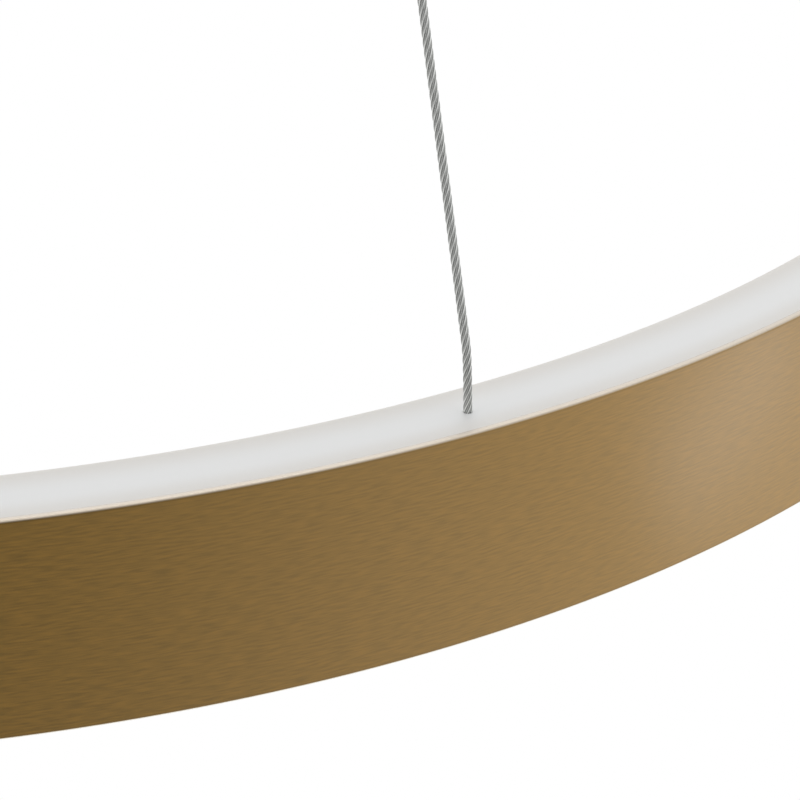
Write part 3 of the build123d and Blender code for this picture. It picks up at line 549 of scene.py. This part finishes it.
class PENDANT_OT_suspension_ropes(bpy.types.Operator):
    """Lays the strands of the three ropes from the ring up into the grippers"""

    bl_idname = "pendant.suspension_ropes"
    bl_label = "Suspension ropes"

    def execute(self, context):
        settings = context.scene.pendant
        wire_radius = RING_RADIUS - settings.ring.wire_inset
        for side, angle in SIDES.items():
            line = route_points(rope_route(angle, settings.rope, wire_radius))
            points = even_points(line, ROPE_STEP)
            rope = self.twist(f"suspension_rope_{side}", points, angle, settings.rope)
            smooth(rope, ROPE_SHARP_EDGE)
            dress(rope, "galvanised_steel_stranded")
            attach(rope, "canopy")
            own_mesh(rope)
            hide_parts(f"suspension_wire_{side}")
        return {"FINISHED"}

    def lobes(self, rope):
        """The rope's section: points round its strands, each with its share of the way across the strand."""
        strand = rope.diameter / 2 * STRAND_ROUND
        heart = rope.diameter / 2 - strand
        reach = pi / rope.strands + asin(heart / strand * sin(pi / rope.strands))
        section = []
        for i in range(rope.strands):
            middle = tau * i / rope.strands
            for k in range(STRAND_FACES):
                share = k / STRAND_FACES
                turn = middle + reach * (2 * share - 1)
                spot = Vector((cos(middle), sin(middle))) * heart + Vector((cos(turn), sin(turn))) * strand
                section.append((spot, share))
        return section

    def twist(self, name, points, angle, rope):
        """Carries the rope's section along the points, turning it once in each lay length.

        The map "strand" gives the share of the way across a strand, and millimetres along the rope.
        """
        section = self.lobes(rope)
        count = len(section)
        aside = along_ring(angle)
        vertices, faces, uvs = [], [], []
        for row, (place, way) in enumerate(points):
            ahead = points[min(row + 1, len(points) - 1)][0] - points[max(row - 1, 0)][0]
            across = ahead.normalized().cross(aside)
            lay = tau * way / rope.lay
            for spot, _ in section:
                u = spot.x * cos(lay) - spot.y * sin(lay)
                v = spot.x * sin(lay) + spot.y * cos(lay)
                vertices.append(place + aside * u + across * v)
        step = 1 / STRAND_FACES
        for row in range(len(points) - 1):
            here, above = row * count, (row + 1) * count
            low, high = points[row][1] / MM, points[row + 1][1] / MM
            for k in range(count):
                after = (k + 1) % count
                faces.append((here + k, here + after, above + after, above + k))
                share = section[k][1]
                uvs += [(share, low), (share + step, low), (share + step, high), (share, high)]
        last = (len(points) - 1) * count
        faces.append(tuple(reversed(range(count))))
        faces.append(tuple(range(last, last + count)))
        uvs += [(CROWN, 0.0)] * 2 * count
        mesh = bpy.data.meshes.new(name)
        mesh.from_pydata(vertices, [], faces)
        layer = mesh.uv_layers.new(name="strand")
        for loop, uv in zip(layer.data, uvs):
            loop.uv = uv
        mesh.validate()
        rope_object = bpy.data.objects.new(name, mesh)
        bpy.context.collection.objects.link(rope_object)
        return rope_object


class PENDANT_OT_canopy_shell(bpy.types.Operator):
    """Spins the canopy's cup and drills it for the grippers, the gland and the side screws"""

    bl_idname = "pendant.canopy_shell"
    bl_label = "Canopy shell"

    def execute(self, context):
        canopy = context.scene.pendant.canopy
        inside = CANOPY_RADIUS - canopy.wall
        floor_top = CANOPY_UNDER + canopy.wall
        section = [
            (0, CANOPY_UNDER),
            (CANOPY_RADIUS - canopy.corner - SHOULDER, CANOPY_UNDER),
            (CANOPY_RADIUS, CANOPY_UNDER, canopy.corner),
            (CANOPY_RADIUS, CANOPY_UNDER + canopy.corner + SHOULDER),
            (CANOPY_RADIUS, 0),
            (inside, 0),
            (inside, floor_top, canopy.corner - canopy.wall),
            (0, floor_top),
        ]
        shell = spin_section("canopy_shell", section, CANOPY_STEPS)
        through = FLOOR_DRILL * canopy.wall
        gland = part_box("outlet_gland")
        gland_place = ((gland[0].x + gland[1].x) / 2, (gland[0].y + gland[1].y) / 2, CANOPY_UNDER)
        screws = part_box("canopy_side_screws")
        screw_level = (screws[0].z + screws[1].z) / 2
        cutters = [
            peg(gland_place, canopy.neck_hole, through),
            peg((0, 0, screw_level), canopy.screw_hole, SIDE_DRILL * CANOPY_RADIUS, (1, 0, 0)),
        ]
        for angle in SIDES.values():
            cutters.append(peg(polar(GRIPPER_RADIUS, angle, CANOPY_UNDER), canopy.neck_hole, through))
        cut(shell, cutters)
        smooth(shell)
        dress(shell, "anodised_aluminium_brushed_brass_tone")
        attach(shell, "canopy")
        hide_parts("canopy_cup")
        return {"FINISHED"}


# A spring's turns, how finely they are modelled, and how far its ground ends stay off what they press on
SPRING_TURNS = 8
SPRING_STEPS = 32
SPRING_SIDES = 12
SPRING_FIT = 0.02 * MM


class PENDANT_OT_gripper_springs(bpy.types.Operator):
    """Winds the spring in each gripper and grinds its ends flat; its nozzle presses it together"""

    bl_idname = "pendant.gripper_springs"
    bl_label = "Gripper springs"

    def execute(self, context):
        wire = context.scene.pendant.canopy.spring_wire
        for side in SIDES:
            low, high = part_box(f"gripper_spring_{side}")
            spring = self.wind(f"wound_spring_{side}", low, high, wire)
            smooth(spring, SPRING_SHARP_EDGE)
            dress(spring, "steel_zinc_plated")
            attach(spring, "canopy")
            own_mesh(spring)
            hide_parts(f"gripper_spring_{side}")
        return {"FINISHED"}

    def wind(self, name, low, high, wire):
        """A coil that fills the box between two corners, wound about its upright axis."""
        pitch = (high.z - low.z) / SPRING_TURNS
        place = ((low.x + high.x) / 2, (low.y + high.y) / 2, low.z - pitch / 2)
        bpy.ops.object.select_all(action="DESELECT")
        bpy.ops.mesh.primitive_circle_add(
            vertices=SPRING_SIDES, radius=wire / 2, location=place, enter_editmode=True
        )
        spring = bpy.context.object
        spring.name = name
        bpy.ops.transform.rotate(value=pi / 2, orient_axis="X", center_override=place)
        bpy.ops.transform.translate(value=((high.x - low.x - wire) / 2, 0, 0))
        bpy.ops.object.mode_set(mode="OBJECT")
        bpy.ops.object.modifier_add(type="SCREW")
        winding = spring.modifiers[-1]
        winding.screw_offset = pitch
        winding.iterations = SPRING_TURNS + 1
        winding.steps = winding.render_steps = SPRING_STEPS
        bpy.ops.object.modifier_apply(modifier=winding.name)
        bpy.ops.object.transform_apply(location=True, rotation=True, scale=True)
        bpy.ops.object.mode_set(mode="EDIT")
        for level, way in ((low.z + SPRING_FIT, -1), (high.z - SPRING_FIT, 1)):
            bpy.ops.mesh.select_all(action="SELECT")
            bpy.ops.mesh.bisect(
                plane_co=(0, 0, level), plane_no=(0, 0, way), use_fill=True, clear_outer=True,
                threshold=MERGE_WITHIN
            )
        bpy.ops.mesh.select_all(action="SELECT")
        bpy.ops.mesh.normals_make_consistent(inside=False)
        bpy.ops.object.mode_set(mode="OBJECT")
        return spring


# Finishes

METAL = 1.0
NO_METAL = 0.0

# Nearly all of a noise texture lies between these values
NOISE_LOW = 0.3
NOISE_HIGH = 0.7

# By how much a fine grain lightens and darkens its finish, and changes its roughness
GRAIN_TINT = 0.04
GRAIN_GLOSS = 0.06


def add(tree, kind, links=None, **settings):
    """Adds a node with its settings; links gives each input socket a value or another node's output."""
    node = tree.nodes.new(kind)
    for name, value in settings.items():
        setattr(node, name, value)
    for socket, value in (links or {}).items():
        if isinstance(value, bpy.types.NodeSocket):
            tree.links.new(value, node.inputs[socket])
        else:
            node.inputs[socket].default_value = value
    return node


def finish(name, base, metallic, roughness, **sockets):
    """Starts a material, with what is the same all over set on its shader."""
    material = bpy.data.materials.new(name)
    material.use_nodes = True
    shader = material.node_tree.nodes["Principled BSDF"]
    shader.inputs["Base Color"].default_value = (*base, 1)
    shader.inputs["Metallic"].default_value = metallic
    shader.inputs["Roughness"].default_value = roughness
    for socket, value in sockets.items():
        shader.inputs[socket.replace("_", " ")].default_value = value
    material.diffuse_color = (*base, 1)
    return material.node_tree, shader


def spots(tree):
    """A piece's own coordinates: the place, its height and its distance from the ring's axis."""
    place = add(tree, "ShaderNodeTexCoord").outputs["Object"]
    height = add(tree, "ShaderNodeSeparateXYZ", {0: place}).outputs[2]
    level = add(tree, "ShaderNodeMapping", {"Vector": place, "Scale": (1, 1, 0)}).outputs[0]
    radius = add(tree, "ShaderNodeVectorMath", {0: level}, operation="LENGTH").outputs["Value"]
    return place, height, radius


def grain(tree, shader, size, depth, dull, shine, stretch=(1, 1, 1)):
    """A grain of that size and depth in millimetres, with a roughness that goes between shine and dull."""
    place = add(tree, "ShaderNodeTexCoord").outputs["Object"]
    spread = add(tree, "ShaderNodeMapping", {"Vector": place, "Scale": stretch}).outputs[0]
    noise = {"Vector": spread, "Scale": 1 / (size * MM), "Detail": 3.0}
    speck = add(tree, "ShaderNodeTexNoise", noise).outputs[0]
    bump = add(tree, "ShaderNodeBump", {"Height": speck, "Distance": depth * MM, "Strength": 1.0})
    gloss = add(tree, "ShaderNodeMapRange", {"Value": speck, "From Min": NOISE_LOW, "From Max": NOISE_HIGH,
                                             "To Min": shine, "To Max": dull})
    tree.links.new(bump.outputs[0], shader.inputs["Normal"])
    tree.links.new(gloss.outputs[0], shader.inputs["Roughness"])
    return speck


def tint(tree, shader, base, noise, strength):
    """Darkens and lightens the base colour by up to that share, as a noise goes from low to high."""
    light = [min(1, c * (1 + strength)) for c in base]
    dark = [c * (1 - strength) for c in base]
    share = add(tree, "ShaderNodeMapRange", {"Value": noise, "From Min": NOISE_LOW, "From Max": NOISE_HIGH})
    mix = add(tree, "ShaderNodeMix", {"Factor": share.outputs[0], "A": (*dark, 1), "B": (*light, 1)},
              data_type="RGBA")
    tree.links.new(mix.outputs["Result"], shader.inputs["Base Color"])
    return mix.outputs["Result"]


# Streaks of the brushing: real ones are finer across, and these are as coarse as they need to be to show
STREAK_LENGTH = 4.0 * MM
STREAK_WIDTH = 0.4 * MM
STREAK_DEPTH = 0.005 * MM
STREAK_SHINE = 0.6
STREAK_DULL = 0.72
STREAK_TINT = 0.185

# How far the painted line of shade reaches from each of the band's rounded edges
EDGE_SHADE_LINE = 0.35 * MM


def towards_edge(tree, height, start, stop):
    """Goes from 0 to 1 as the distance above or below the ring's middle height goes from start to stop."""
    aside = add(tree, "ShaderNodeMath", {0: height, 1: -RING_MIDDLE}, operation="ADD").outputs[0]
    away = add(tree, "ShaderNodeMath", {0: aside}, operation="ABSOLUTE").outputs[0]
    return add(tree, "ShaderNodeMapRange", {"Value": away, "From Min": start, "From Max": stop}).outputs[0]


def brushed_brass_tone(colours, ring):
    """Aluminium, brushed along its length and anodised in a brass tone: fine streaks under a clear skin."""
    base = colours.brass_tone
    tree, shader = finish("anodised_aluminium_brushed_brass_tone", base, METAL,
                          roughness=(STREAK_SHINE + STREAK_DULL) / 2, Coat_Weight=1.0, Coat_Roughness=0.31,
                          Coat_IOR=1.5, Anisotropic=0.4, Anisotropic_Rotation=0.25)
    place, height, radius = spots(tree)
    axes = add(tree, "ShaderNodeSeparateXYZ", {0: place}).outputs
    back = add(tree, "ShaderNodeMath", {0: axes[1], 1: -1.0}, operation="MULTIPLY").outputs[0]
    turn = add(tree, "ShaderNodeMath", {0: axes[0], 1: back}, operation="ARCTAN2").outputs[0]
    along = add(tree, "ShaderNodeMath", {0: turn, 1: RING_RADIUS / STREAK_LENGTH}, operation="MULTIPLY")
    across = add(tree, "ShaderNodeMath", {0: height, 1: radius}, operation="ADD").outputs[0]
    fine = add(tree, "ShaderNodeMath", {0: across, 1: 1 / STREAK_WIDTH}, operation="MULTIPLY")
    spread = add(tree, "ShaderNodeCombineXYZ", {0: along.outputs[0], 1: fine.outputs[0]}).outputs[0]
    streak = add(tree, "ShaderNodeTexNoise", {"Vector": spread, "Scale": 1.0, "Detail": 1.0}).outputs[0]
    bump = add(tree, "ShaderNodeBump", {"Height": streak, "Distance": STREAK_DEPTH, "Strength": 1.0})
    gloss = add(tree, "ShaderNodeMapRange", {"Value": streak, "From Min": NOISE_LOW, "From Max": NOISE_HIGH,
                                             "To Min": STREAK_SHINE, "To Max": STREAK_DULL})
    round_axis = add(tree, "ShaderNodeTangent", direction_type="RADIAL", axis="Z")
    tree.links.new(round_axis.outputs[0], shader.inputs["Tangent"])
    tree.links.new(bump.outputs[0], shader.inputs["Normal"])
    tree.links.new(gloss.outputs[0], shader.inputs["Roughness"])
    tone = tint(tree, shader, base, streak, STREAK_TINT)
    # Painted shade: the colour darkens over a narrow line just short of each rounded edge
    stop = RING_HEIGHT / 2 - ring.band_edge
    line = towards_edge(tree, height, stop - EDGE_SHADE_LINE, stop)
    mix = add(tree, "ShaderNodeMix", {"Factor": line, "A": tone, "B": (*colours.edge_shade, 1)},
              data_type="RGBA")
    tree.links.new(mix.outputs["Result"], shader.inputs["Base Color"])


# Shares of the height of an edge's rounding, from the band's wall: where the painted shade has faded out, and
# where the painted highlight round the lower edge, a painted reflection of the floor, begins and is full
SHADE_FADES = 0.8
HIGHLIGHT_BEGINS = 0.1
HIGHLIGHT_FULL = 0.35


def sawn_edge(colours, ring):
    """Aluminium, sawn and rounded after its dyeing: bare, pale and dull, with painted shade where the band
    begins and a painted highlight round its lower edge.
    """
    base = colours.cut_edge
    tree, shader = finish("aluminium_sawn_edge", base, METAL, roughness=0.45)
    speck = grain(tree, shader, size=0.4, depth=0.006, dull=0.55, shine=0.4)
    bare = tint(tree, shader, base, speck, GRAIN_TINT)
    _, height, radius = spots(tree)
    outwards = add(tree, "ShaderNodeMapRange", {"Value": radius, "From Min": RING_RADIUS - ring.band_wall,
                                                "From Max": RING_RADIUS - ring.band_edge}).outputs[0]
    warm = add(tree, "ShaderNodeMix", {"Factor": outwards, "A": bare, "B": (*colours.cut_rim, 1)},
               data_type="RGBA").outputs["Result"]
    start = RING_HEIGHT / 2 - ring.band_edge
    share = towards_edge(tree, height, start, start + ring.band_edge * SHADE_FADES)
    shaded = add(tree, "ShaderNodeMix", {"Factor": share, "A": (*colours.edge_shade, 1), "B": warm},
               data_type="RGBA").outputs["Result"]
    # Painted highlight: the lower part of the lower rounding goes paler, as a painted reflection of the floor
    foot = RING_BOTTOM + ring.band_edge
    under = add(tree, "ShaderNodeMapRange",
                {"Value": height, "From Min": foot - ring.band_edge * HIGHLIGHT_BEGINS,
                 "From Max": foot - ring.band_edge * HIGHLIGHT_FULL}).outputs[0]
    mix = add(tree, "ShaderNodeMix", {"Factor": under, "A": shaded, "B": (*colours.foot_highlight, 1)},
              data_type="RGBA")
    tree.links.new(mix.outputs["Result"], shader.inputs["Base Color"])


# Between which radii the painted shade on the diffuser comes in, towards its inner edge and towards its outer
# edge, and how much of it its outer edge gets
OPAL_INNER_SHADE = (RING_RADIUS - 17 * MM, RING_RADIUS - 8.5 * MM)
OPAL_OUTER_SHADE = (RING_RADIUS - 7 * MM, RING_RADIUS - 1 * MM)
OPAL_OUTER_SHADE_SHARE = 0.85


def opal_acrylic(colours):
    """Acrylic, extruded with a milky filling: matt and even, with painted shade that makes it a little warmer
    and darker along its edges.
    """
    tree, shader = finish("acrylic_extruded_opal", colours.opal, NO_METAL, roughness=0.45, IOR=1.49)
    grain(tree, shader, size=1.2, depth=0.002, dull=0.5, shine=0.42)
    radius = spots(tree)[2]
    # Painted shade towards the inner edge and, a little less, towards the outer edge, which also gets painted
    # warm light from the band
    near = add(tree, "ShaderNodeMapRange",
               {"Value": radius, "From Min": OPAL_INNER_SHADE[0], "From Max": OPAL_INNER_SHADE[1], "To Min": 1.0,
                "To Max": 0.0}, interpolation_type="SMOOTHSTEP")
    far = add(tree, "ShaderNodeMapRange",
              {"Value": radius, "From Min": OPAL_OUTER_SHADE[0], "From Max": OPAL_OUTER_SHADE[1], "To Min": 0.0,
               "To Max": OPAL_OUTER_SHADE_SHARE}, interpolation_type="SMOOTHSTEP")
    edge = add(tree, "ShaderNodeMath", {0: near.outputs[0], 1: far.outputs[0]}, operation="MAXIMUM")
    mix = add(tree, "ShaderNodeMix", {"Factor": edge.outputs[0], "A": (*colours.opal, 1),
                                      "B": (*colours.opal_edge_shade, 1)}, data_type="RGBA")
    tree.links.new(mix.outputs["Result"], shader.inputs["Base Color"])


# Shares of a strand's width, from its crown: where the painted highlight along the crown ends and the painted
# shade on the flanks begins, and where the painted light in the groove, which offsets the groove's shade,
# begins and is full; and how near this comes to the highlight's colour
CROWN_HIGHLIGHT_ENDS = 0.05
FLANK_SHADE_BEGINS = 0.22
GROOVE_LIGHT_BEGINS = 0.34
GROOVE_LIGHT_FULL = 0.46
GROOVE_LIGHT_SHARE = 0.7

# A strand's own wires: the slopes of their ridges, counted across the strand, how many of them the wires'
# lay shifts in each millimetre of rope, and their bump's depth and strength
WIRE_SLOPES = 4.0
WIRE_LAY = 0.35
WIRE_DEPTH = 0.03 * MM
WIRE_BUMP = 0.25


def stranded_steel(colours):
    """Steel wire, galvanised and laid in strands, with a painted highlight along each strand's crown, painted
    shade on its flanks and painted light in the grooves.
    """
    tree, shader = finish("galvanised_steel_stranded", colours.rope_crown_highlight, METAL, roughness=0.66)
    strand = add(tree, "ShaderNodeUVMap", uv_map="strand").outputs[0]
    axes = add(tree, "ShaderNodeSeparateXYZ", {0: strand}).outputs
    aside = add(tree, "ShaderNodeMath", {0: axes[0], 1: CROWN}, operation="SUBTRACT").outputs[0]
    away = add(tree, "ShaderNodeMath", {0: aside}, operation="ABSOLUTE").outputs[0]
    # Painted highlight along each crown, painted shade on the flanks, and painted light in the grooves that
    # offsets the shade there
    flank_shade = add(tree, "ShaderNodeMapRange",
                {"Value": away, "From Min": CROWN_HIGHLIGHT_ENDS, "From Max": FLANK_SHADE_BEGINS})
    groove_light = add(tree, "ShaderNodeMapRange",
                 {"Value": away, "From Min": GROOVE_LIGHT_BEGINS, "From Max": GROOVE_LIGHT_FULL,
                  "To Max": GROOVE_LIGHT_SHARE})
    grey = add(tree, "ShaderNodeMath", {0: flank_shade.outputs[0], 1: groove_light.outputs[0]}, operation="SUBTRACT")
    mix = add(tree, "ShaderNodeMix", {"Factor": grey.outputs[0], "A": (*colours.rope_crown_highlight, 1),
                                      "B": (*colours.rope_flank_shade, 1)}, data_type="RGBA")
    tree.links.new(mix.outputs["Result"], shader.inputs["Base Color"])
    wires = add(tree, "ShaderNodeMath", {0: axes[0], 1: WIRE_SLOPES}, operation="MULTIPLY").outputs[0]
    lay = add(tree, "ShaderNodeMath", {0: axes[1], 1: WIRE_LAY, 2: wires}, operation="MULTIPLY_ADD")
    ridge = add(tree, "ShaderNodeMath", {0: lay.outputs[0], 1: 1.0}, operation="PINGPONG").outputs[0]
    bump = add(tree, "ShaderNodeBump", {"Height": ridge, "Distance": WIRE_DEPTH, "Strength": WIRE_BUMP})
    tree.links.new(bump.outputs[0], shader.inputs["Normal"])


def plain(name, base, metallic, roughness, size, depth, stretch=(1, 1, 1)):
    """A finish of one colour with a fine grain, whose size and depth are in millimetres."""
    tree, shader = finish(name, base, metallic, roughness)
    speck = grain(tree, shader, size, depth, roughness + GRAIN_GLOSS, roughness - GRAIN_GLOSS, stretch)
    tint(tree, shader, base, speck, GRAIN_TINT)
    return bpy.data.materials[name]


def plain_finishes(colours):
    """The finishes of the fittings and of the pieces out of sight, by the slot that each one fills.

    Each has its colour, whether it is a metal, its roughness, and its grain's size and depth in millimetres.
    """
    return {
        # Brass, turned and left satin: fine level rings and a soft gold gleam
        "satin_brass": plain("brass_turned_satin", colours.satin_brass, METAL, 0.32, 0.15, 0.002,
                             stretch=(1, 1, 12)),
        # Steel, zinc plated: bluish grey with faint blooms
        "zinc_steel": plain("steel_zinc_plated", colours.zinc, METAL, 0.3, 0.8, 0.003),
        # Brass, rolled: yellow and fairly bright
        "brass": plain("brass_rolled", colours.brass, METAL, 0.28, 0.5, 0.002),
        # Aluminium, extruded: pale grey with faint lines up its height
        "plain_aluminium": plain("aluminium_extruded", colours.aluminium, METAL, 0.35, 0.3, 0.003,
                                 stretch=(1, 1, 0.1)),
        # Nylon, moulded white: matt, with the fine orange peel of its mould
        "white_nylon": plain("nylon_moulded_white", colours.nylon, NO_METAL, 0.5, 0.6, 0.01),
        # Nylon, moulded clear: milky and a little shinier
        "clear_nylon": plain("nylon_moulded_clear", colours.clear_nylon, NO_METAL, 0.35, 0.6, 0.005),
        # Polyimide tape under a white mask: flat white with a faint weave of printing
        "white_tape": plain("polyimide_tape_white_mask", colours.tape, NO_METAL, 0.45, 0.5, 0.004),
        # Phosphor under clear resin: yellow and smooth
        "led_phosphor": plain("phosphor_under_resin", colours.phosphor, NO_METAL, 0.3, 0.2, 0.003),
        # Glass epoxy under a green mask: deep green, slightly uneven and glossy
        "green_board": plain("glass_epoxy_green_mask", colours.board, NO_METAL, 0.35, 0.7, 0.006),
        # Epoxy, moulded black: dull and finely pitted
        "black_resin": plain("epoxy_moulded_black", colours.resin, NO_METAL, 0.5, 0.3, 0.006),
        # Soft PVC, extruded grey: smooth with a waxy sheen
        "grey_pvc": plain("pvc_extruded_grey", colours.sheath, NO_METAL, 0.45, 0.8, 0.01),
    }


class PENDANT_OT_finishes(bpy.types.Operator):
    """Makes the finishes and gives each CAD node the one that its slot names"""

    bl_idname = "pendant.finishes"
    bl_label = "Finishes"

    def execute(self, context):
        colours = context.scene.pendant.colours
        ring = context.scene.pendant.ring
        brushed_brass_tone(colours, ring)
        sawn_edge(colours, ring)
        opal_acrylic(colours)
        stranded_steel(colours)
        by_slot = plain_finishes(colours)
        by_slot["brass_tone_aluminium"] = bpy.data.materials["anodised_aluminium_brushed_brass_tone"]
        by_slot["opal_acrylic"] = bpy.data.materials["acrylic_extruded_opal"]
        by_slot["steel_rope"] = bpy.data.materials["galvanised_steel_stranded"]
        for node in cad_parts.values():
            for place in node.material_slots:
                place.material = by_slot[place.material.name]
        return {"FINISHED"}


# Studio

# The camera's sensor in millimetres, and the nearest that it sees
SENSOR_WIDTH = 36
NEAREST_SEEN = 10 * MM

# The floor's sides, and by how much it is lifted towards white where it is seen or mirrored
FLOOR_SIDES = 128
FLOOR_LIFT = 0.45

# Between which cosines of the angle to the camera's heading the surroundings go from dim to bright
DIM_UP_TO = -0.9
BRIGHT_FROM = -0.35

# The softboxes: where they stand and point, how wide and high they are, and how far the side one is rolled
OVERHEAD_PLACE = (0.3, 0.6, 0.9)
OVERHEAD_TARGET = (0, 0, RING_MIDDLE / 2)
OVERHEAD_SIZE = (1.2, 1.2)
SIDE_PLACE = (0.2165, -0.3906, -0.789)
SIDE_TARGET = (0.067, -0.292, -0.7)
SIDE_SIZE = (0.09, 0.012)
SIDE_ROLL = radians(35)


def aim(place, target, roll):
    """The turn that points a lamp at a target, rolled by that angle about the way that it points."""
    turn = (Vector(target) - Vector(place)).to_track_quat("-Z", "Y").to_euler()
    turn.rotate_axis("Z", roll)
    return turn


class PENDANT_OT_studio(bpy.types.Operator):
    """Sets the camera, the floor, the soft lamps and the white surroundings"""

    bl_idname = "pendant.studio"
    bl_label = "Studio"

    def execute(self, context):
        studio = context.scene.pendant.studio
        bpy.ops.object.select_all(action="DESELECT")
        turn = (pi / 2 - studio.camera_pitch, 0, -studio.camera_heading)
        bpy.ops.object.camera_add(location=studio.camera_place, rotation=turn)
        camera = context.object
        camera.data.lens = studio.camera_lens
        camera.data.sensor_width = SENSOR_WIDTH
        camera.data.clip_start = NEAREST_SEEN
        context.scene.camera = camera
        context.scene.view_settings.view_transform = "Standard"
        self.floor(studio)
        down = aim(OVERHEAD_PLACE, OVERHEAD_TARGET, 0)
        self.lamp("overhead_softbox", OVERHEAD_PLACE, down, OVERHEAD_SIZE, studio.overhead_power)
        inwards = aim(SIDE_PLACE, SIDE_TARGET, SIDE_ROLL)
        self.lamp("side_softbox", SIDE_PLACE, inwards, SIDE_SIZE, studio.side_power)
        self.surroundings(context, studio)
        return {"FINISHED"}

    def lamp(self, name, place, turn, size, watts):
        """A soft lamp of that width and height."""
        bpy.ops.object.light_add(type="AREA", location=place, rotation=turn)
        lamp = bpy.context.object
        lamp.name = name
        lamp.data.shape = "RECTANGLE"
        lamp.data.size, lamp.data.size_y = size
        lamp.data.energy = watts
        lamp.visible_camera = False

    def floor(self, studio):
        """A disc well under the ring, lit as any white floor, and white to the eye and in reflections."""
        bpy.ops.object.select_all(action="DESELECT")
        place = (0, 0, RING_BOTTOM - studio.floor_drop)
        bpy.ops.mesh.primitive_circle_add(
            vertices=FLOOR_SIDES, radius=studio.floor_radius, fill_type="NGON", location=place
        )
        floor = bpy.context.object
        floor.name = "floor"
        material = bpy.data.materials.new("studio_floor_white")
        material.use_nodes = True
        tree = material.node_tree
        tree.nodes.clear()
        path = add(tree, "ShaderNodeLightPath").outputs
        seen = add(tree, "ShaderNodeMath", {0: path["Is Camera Ray"], 1: path["Is Glossy Ray"]},
                   operation="ADD")
        seen = add(tree, "ShaderNodeMath", {0: seen.outputs[0], 1: path["Is Transmission Ray"]},
                   operation="ADD", use_clamp=True)
        lift = add(tree, "ShaderNodeMath", {0: seen.outputs[0], 1: FLOOR_LIFT}, operation="MULTIPLY")
        matt = add(tree, "ShaderNodeBsdfDiffuse", {"Color": (*studio.floor_tone, 1)})
        glow = add(tree, "ShaderNodeEmission", {"Color": (1, 1, 1, 1), "Strength": lift.outputs[0]})
        both = add(tree, "ShaderNodeAddShader", {0: matt.outputs[0], 1: glow.outputs[0]})
        add(tree, "ShaderNodeOutputMaterial", {"Surface": both.outputs[0]})
        floor.data.materials.append(material)

    def surroundings(self, context, studio):
        """White all round to the eye, and as light a soft room that is dimmer behind the camera."""
        world = bpy.data.worlds.new("white_studio")
        context.scene.world = world
        world.use_nodes = True
        tree = world.node_tree
        tree.nodes.clear()
        heading = studio.camera_heading
        ahead = (sin(heading), cos(heading), 0)
        way = add(tree, "ShaderNodeTexCoord").outputs["Generated"]
        facing = add(tree, "ShaderNodeVectorMath", {0: way, 1: ahead}, operation="DOT_PRODUCT")
        ramp = {"Value": facing.outputs["Value"], "From Min": DIM_UP_TO, "From Max": BRIGHT_FROM}
        bright = add(tree, "ShaderNodeMapRange", ramp, interpolation_type="SMOOTHSTEP").outputs[0]
        room = add(tree, "ShaderNodeMix", {"Factor": bright, "A": studio.camera_side, "B": studio.far_side},
                   data_type="FLOAT").outputs["Result"]
        path = add(tree, "ShaderNodeLightPath").outputs
        in_metal = add(tree, "ShaderNodeMath", {0: path["Is Glossy Ray"], 1: bright}, operation="MULTIPLY")
        seen = add(tree, "ShaderNodeMath", {0: path["Is Camera Ray"], 1: path["Is Transmission Ray"]},
                   operation="ADD")
        seen = add(tree, "ShaderNodeMath", {0: seen.outputs[0], 1: in_metal.outputs[0]},
                   operation="ADD", use_clamp=True).outputs[0]
        level = add(tree, "ShaderNodeMix", {"Factor": seen, "A": room, "B": 1.0}, data_type="FLOAT")
        light = add(tree, "ShaderNodeBackground",
                    {"Color": (1, 1, 1, 1), "Strength": level.outputs["Result"]})
        add(tree, "ShaderNodeOutputWorld", {"Surface": light.outputs[0]})


class PENDANT_PT_panel(bpy.types.Panel):
    """The pendant's sizes, colours and steps"""

    bl_label = "LED ring pendant"
    bl_idname = "PENDANT_PT_panel"
    bl_space_type = "VIEW_3D"
    bl_region_type = "UI"
    bl_category = "Pendant"

    def draw(self, context):
        settings = context.scene.pendant
        for group in ("ring", "rope", "canopy", "colours", "studio"):
            box = self.layout.box()
            values = getattr(settings, group)
            for name in values.__annotations__:
                box.prop(values, name)
        for step in STEPS:
            self.layout.operator(step.bl_idname)


STEPS = (
    PENDANT_OT_studio,
    PENDANT_OT_finishes,
    PENDANT_OT_suspension_ropes,
    PENDANT_OT_ring_band,
    PENDANT_OT_ring_diffuser,
    PENDANT_OT_canopy_shell,
    PENDANT_OT_gripper_springs,
)
GROUPS = (RingSizes, RopeSizes, CanopySizes, FinishColours, StudioSettings, PendantSettings)


def register():
    for kind in (*GROUPS, *STEPS, PENDANT_PT_panel):
        bpy.utils.register_class(kind)
    bpy.types.Scene.pendant = bpy.props.PointerProperty(type=PendantSettings)


def unregister():
    del bpy.types.Scene.pendant
    for kind in reversed((*GROUPS, *STEPS, PENDANT_PT_panel)):
        bpy.utils.unregister_class(kind)


def main():
    """Makes everything in order."""
    register()
    bpy.ops.pendant.studio()
    bpy.ops.pendant.finishes()
    bpy.ops.pendant.suspension_ropes()
    bpy.ops.pendant.ring_band()
    bpy.ops.pendant.ring_diffuser()
    bpy.ops.pendant.canopy_shell()
    bpy.ops.pendant.gripper_springs()


if __name__ == "__main__":
    main()
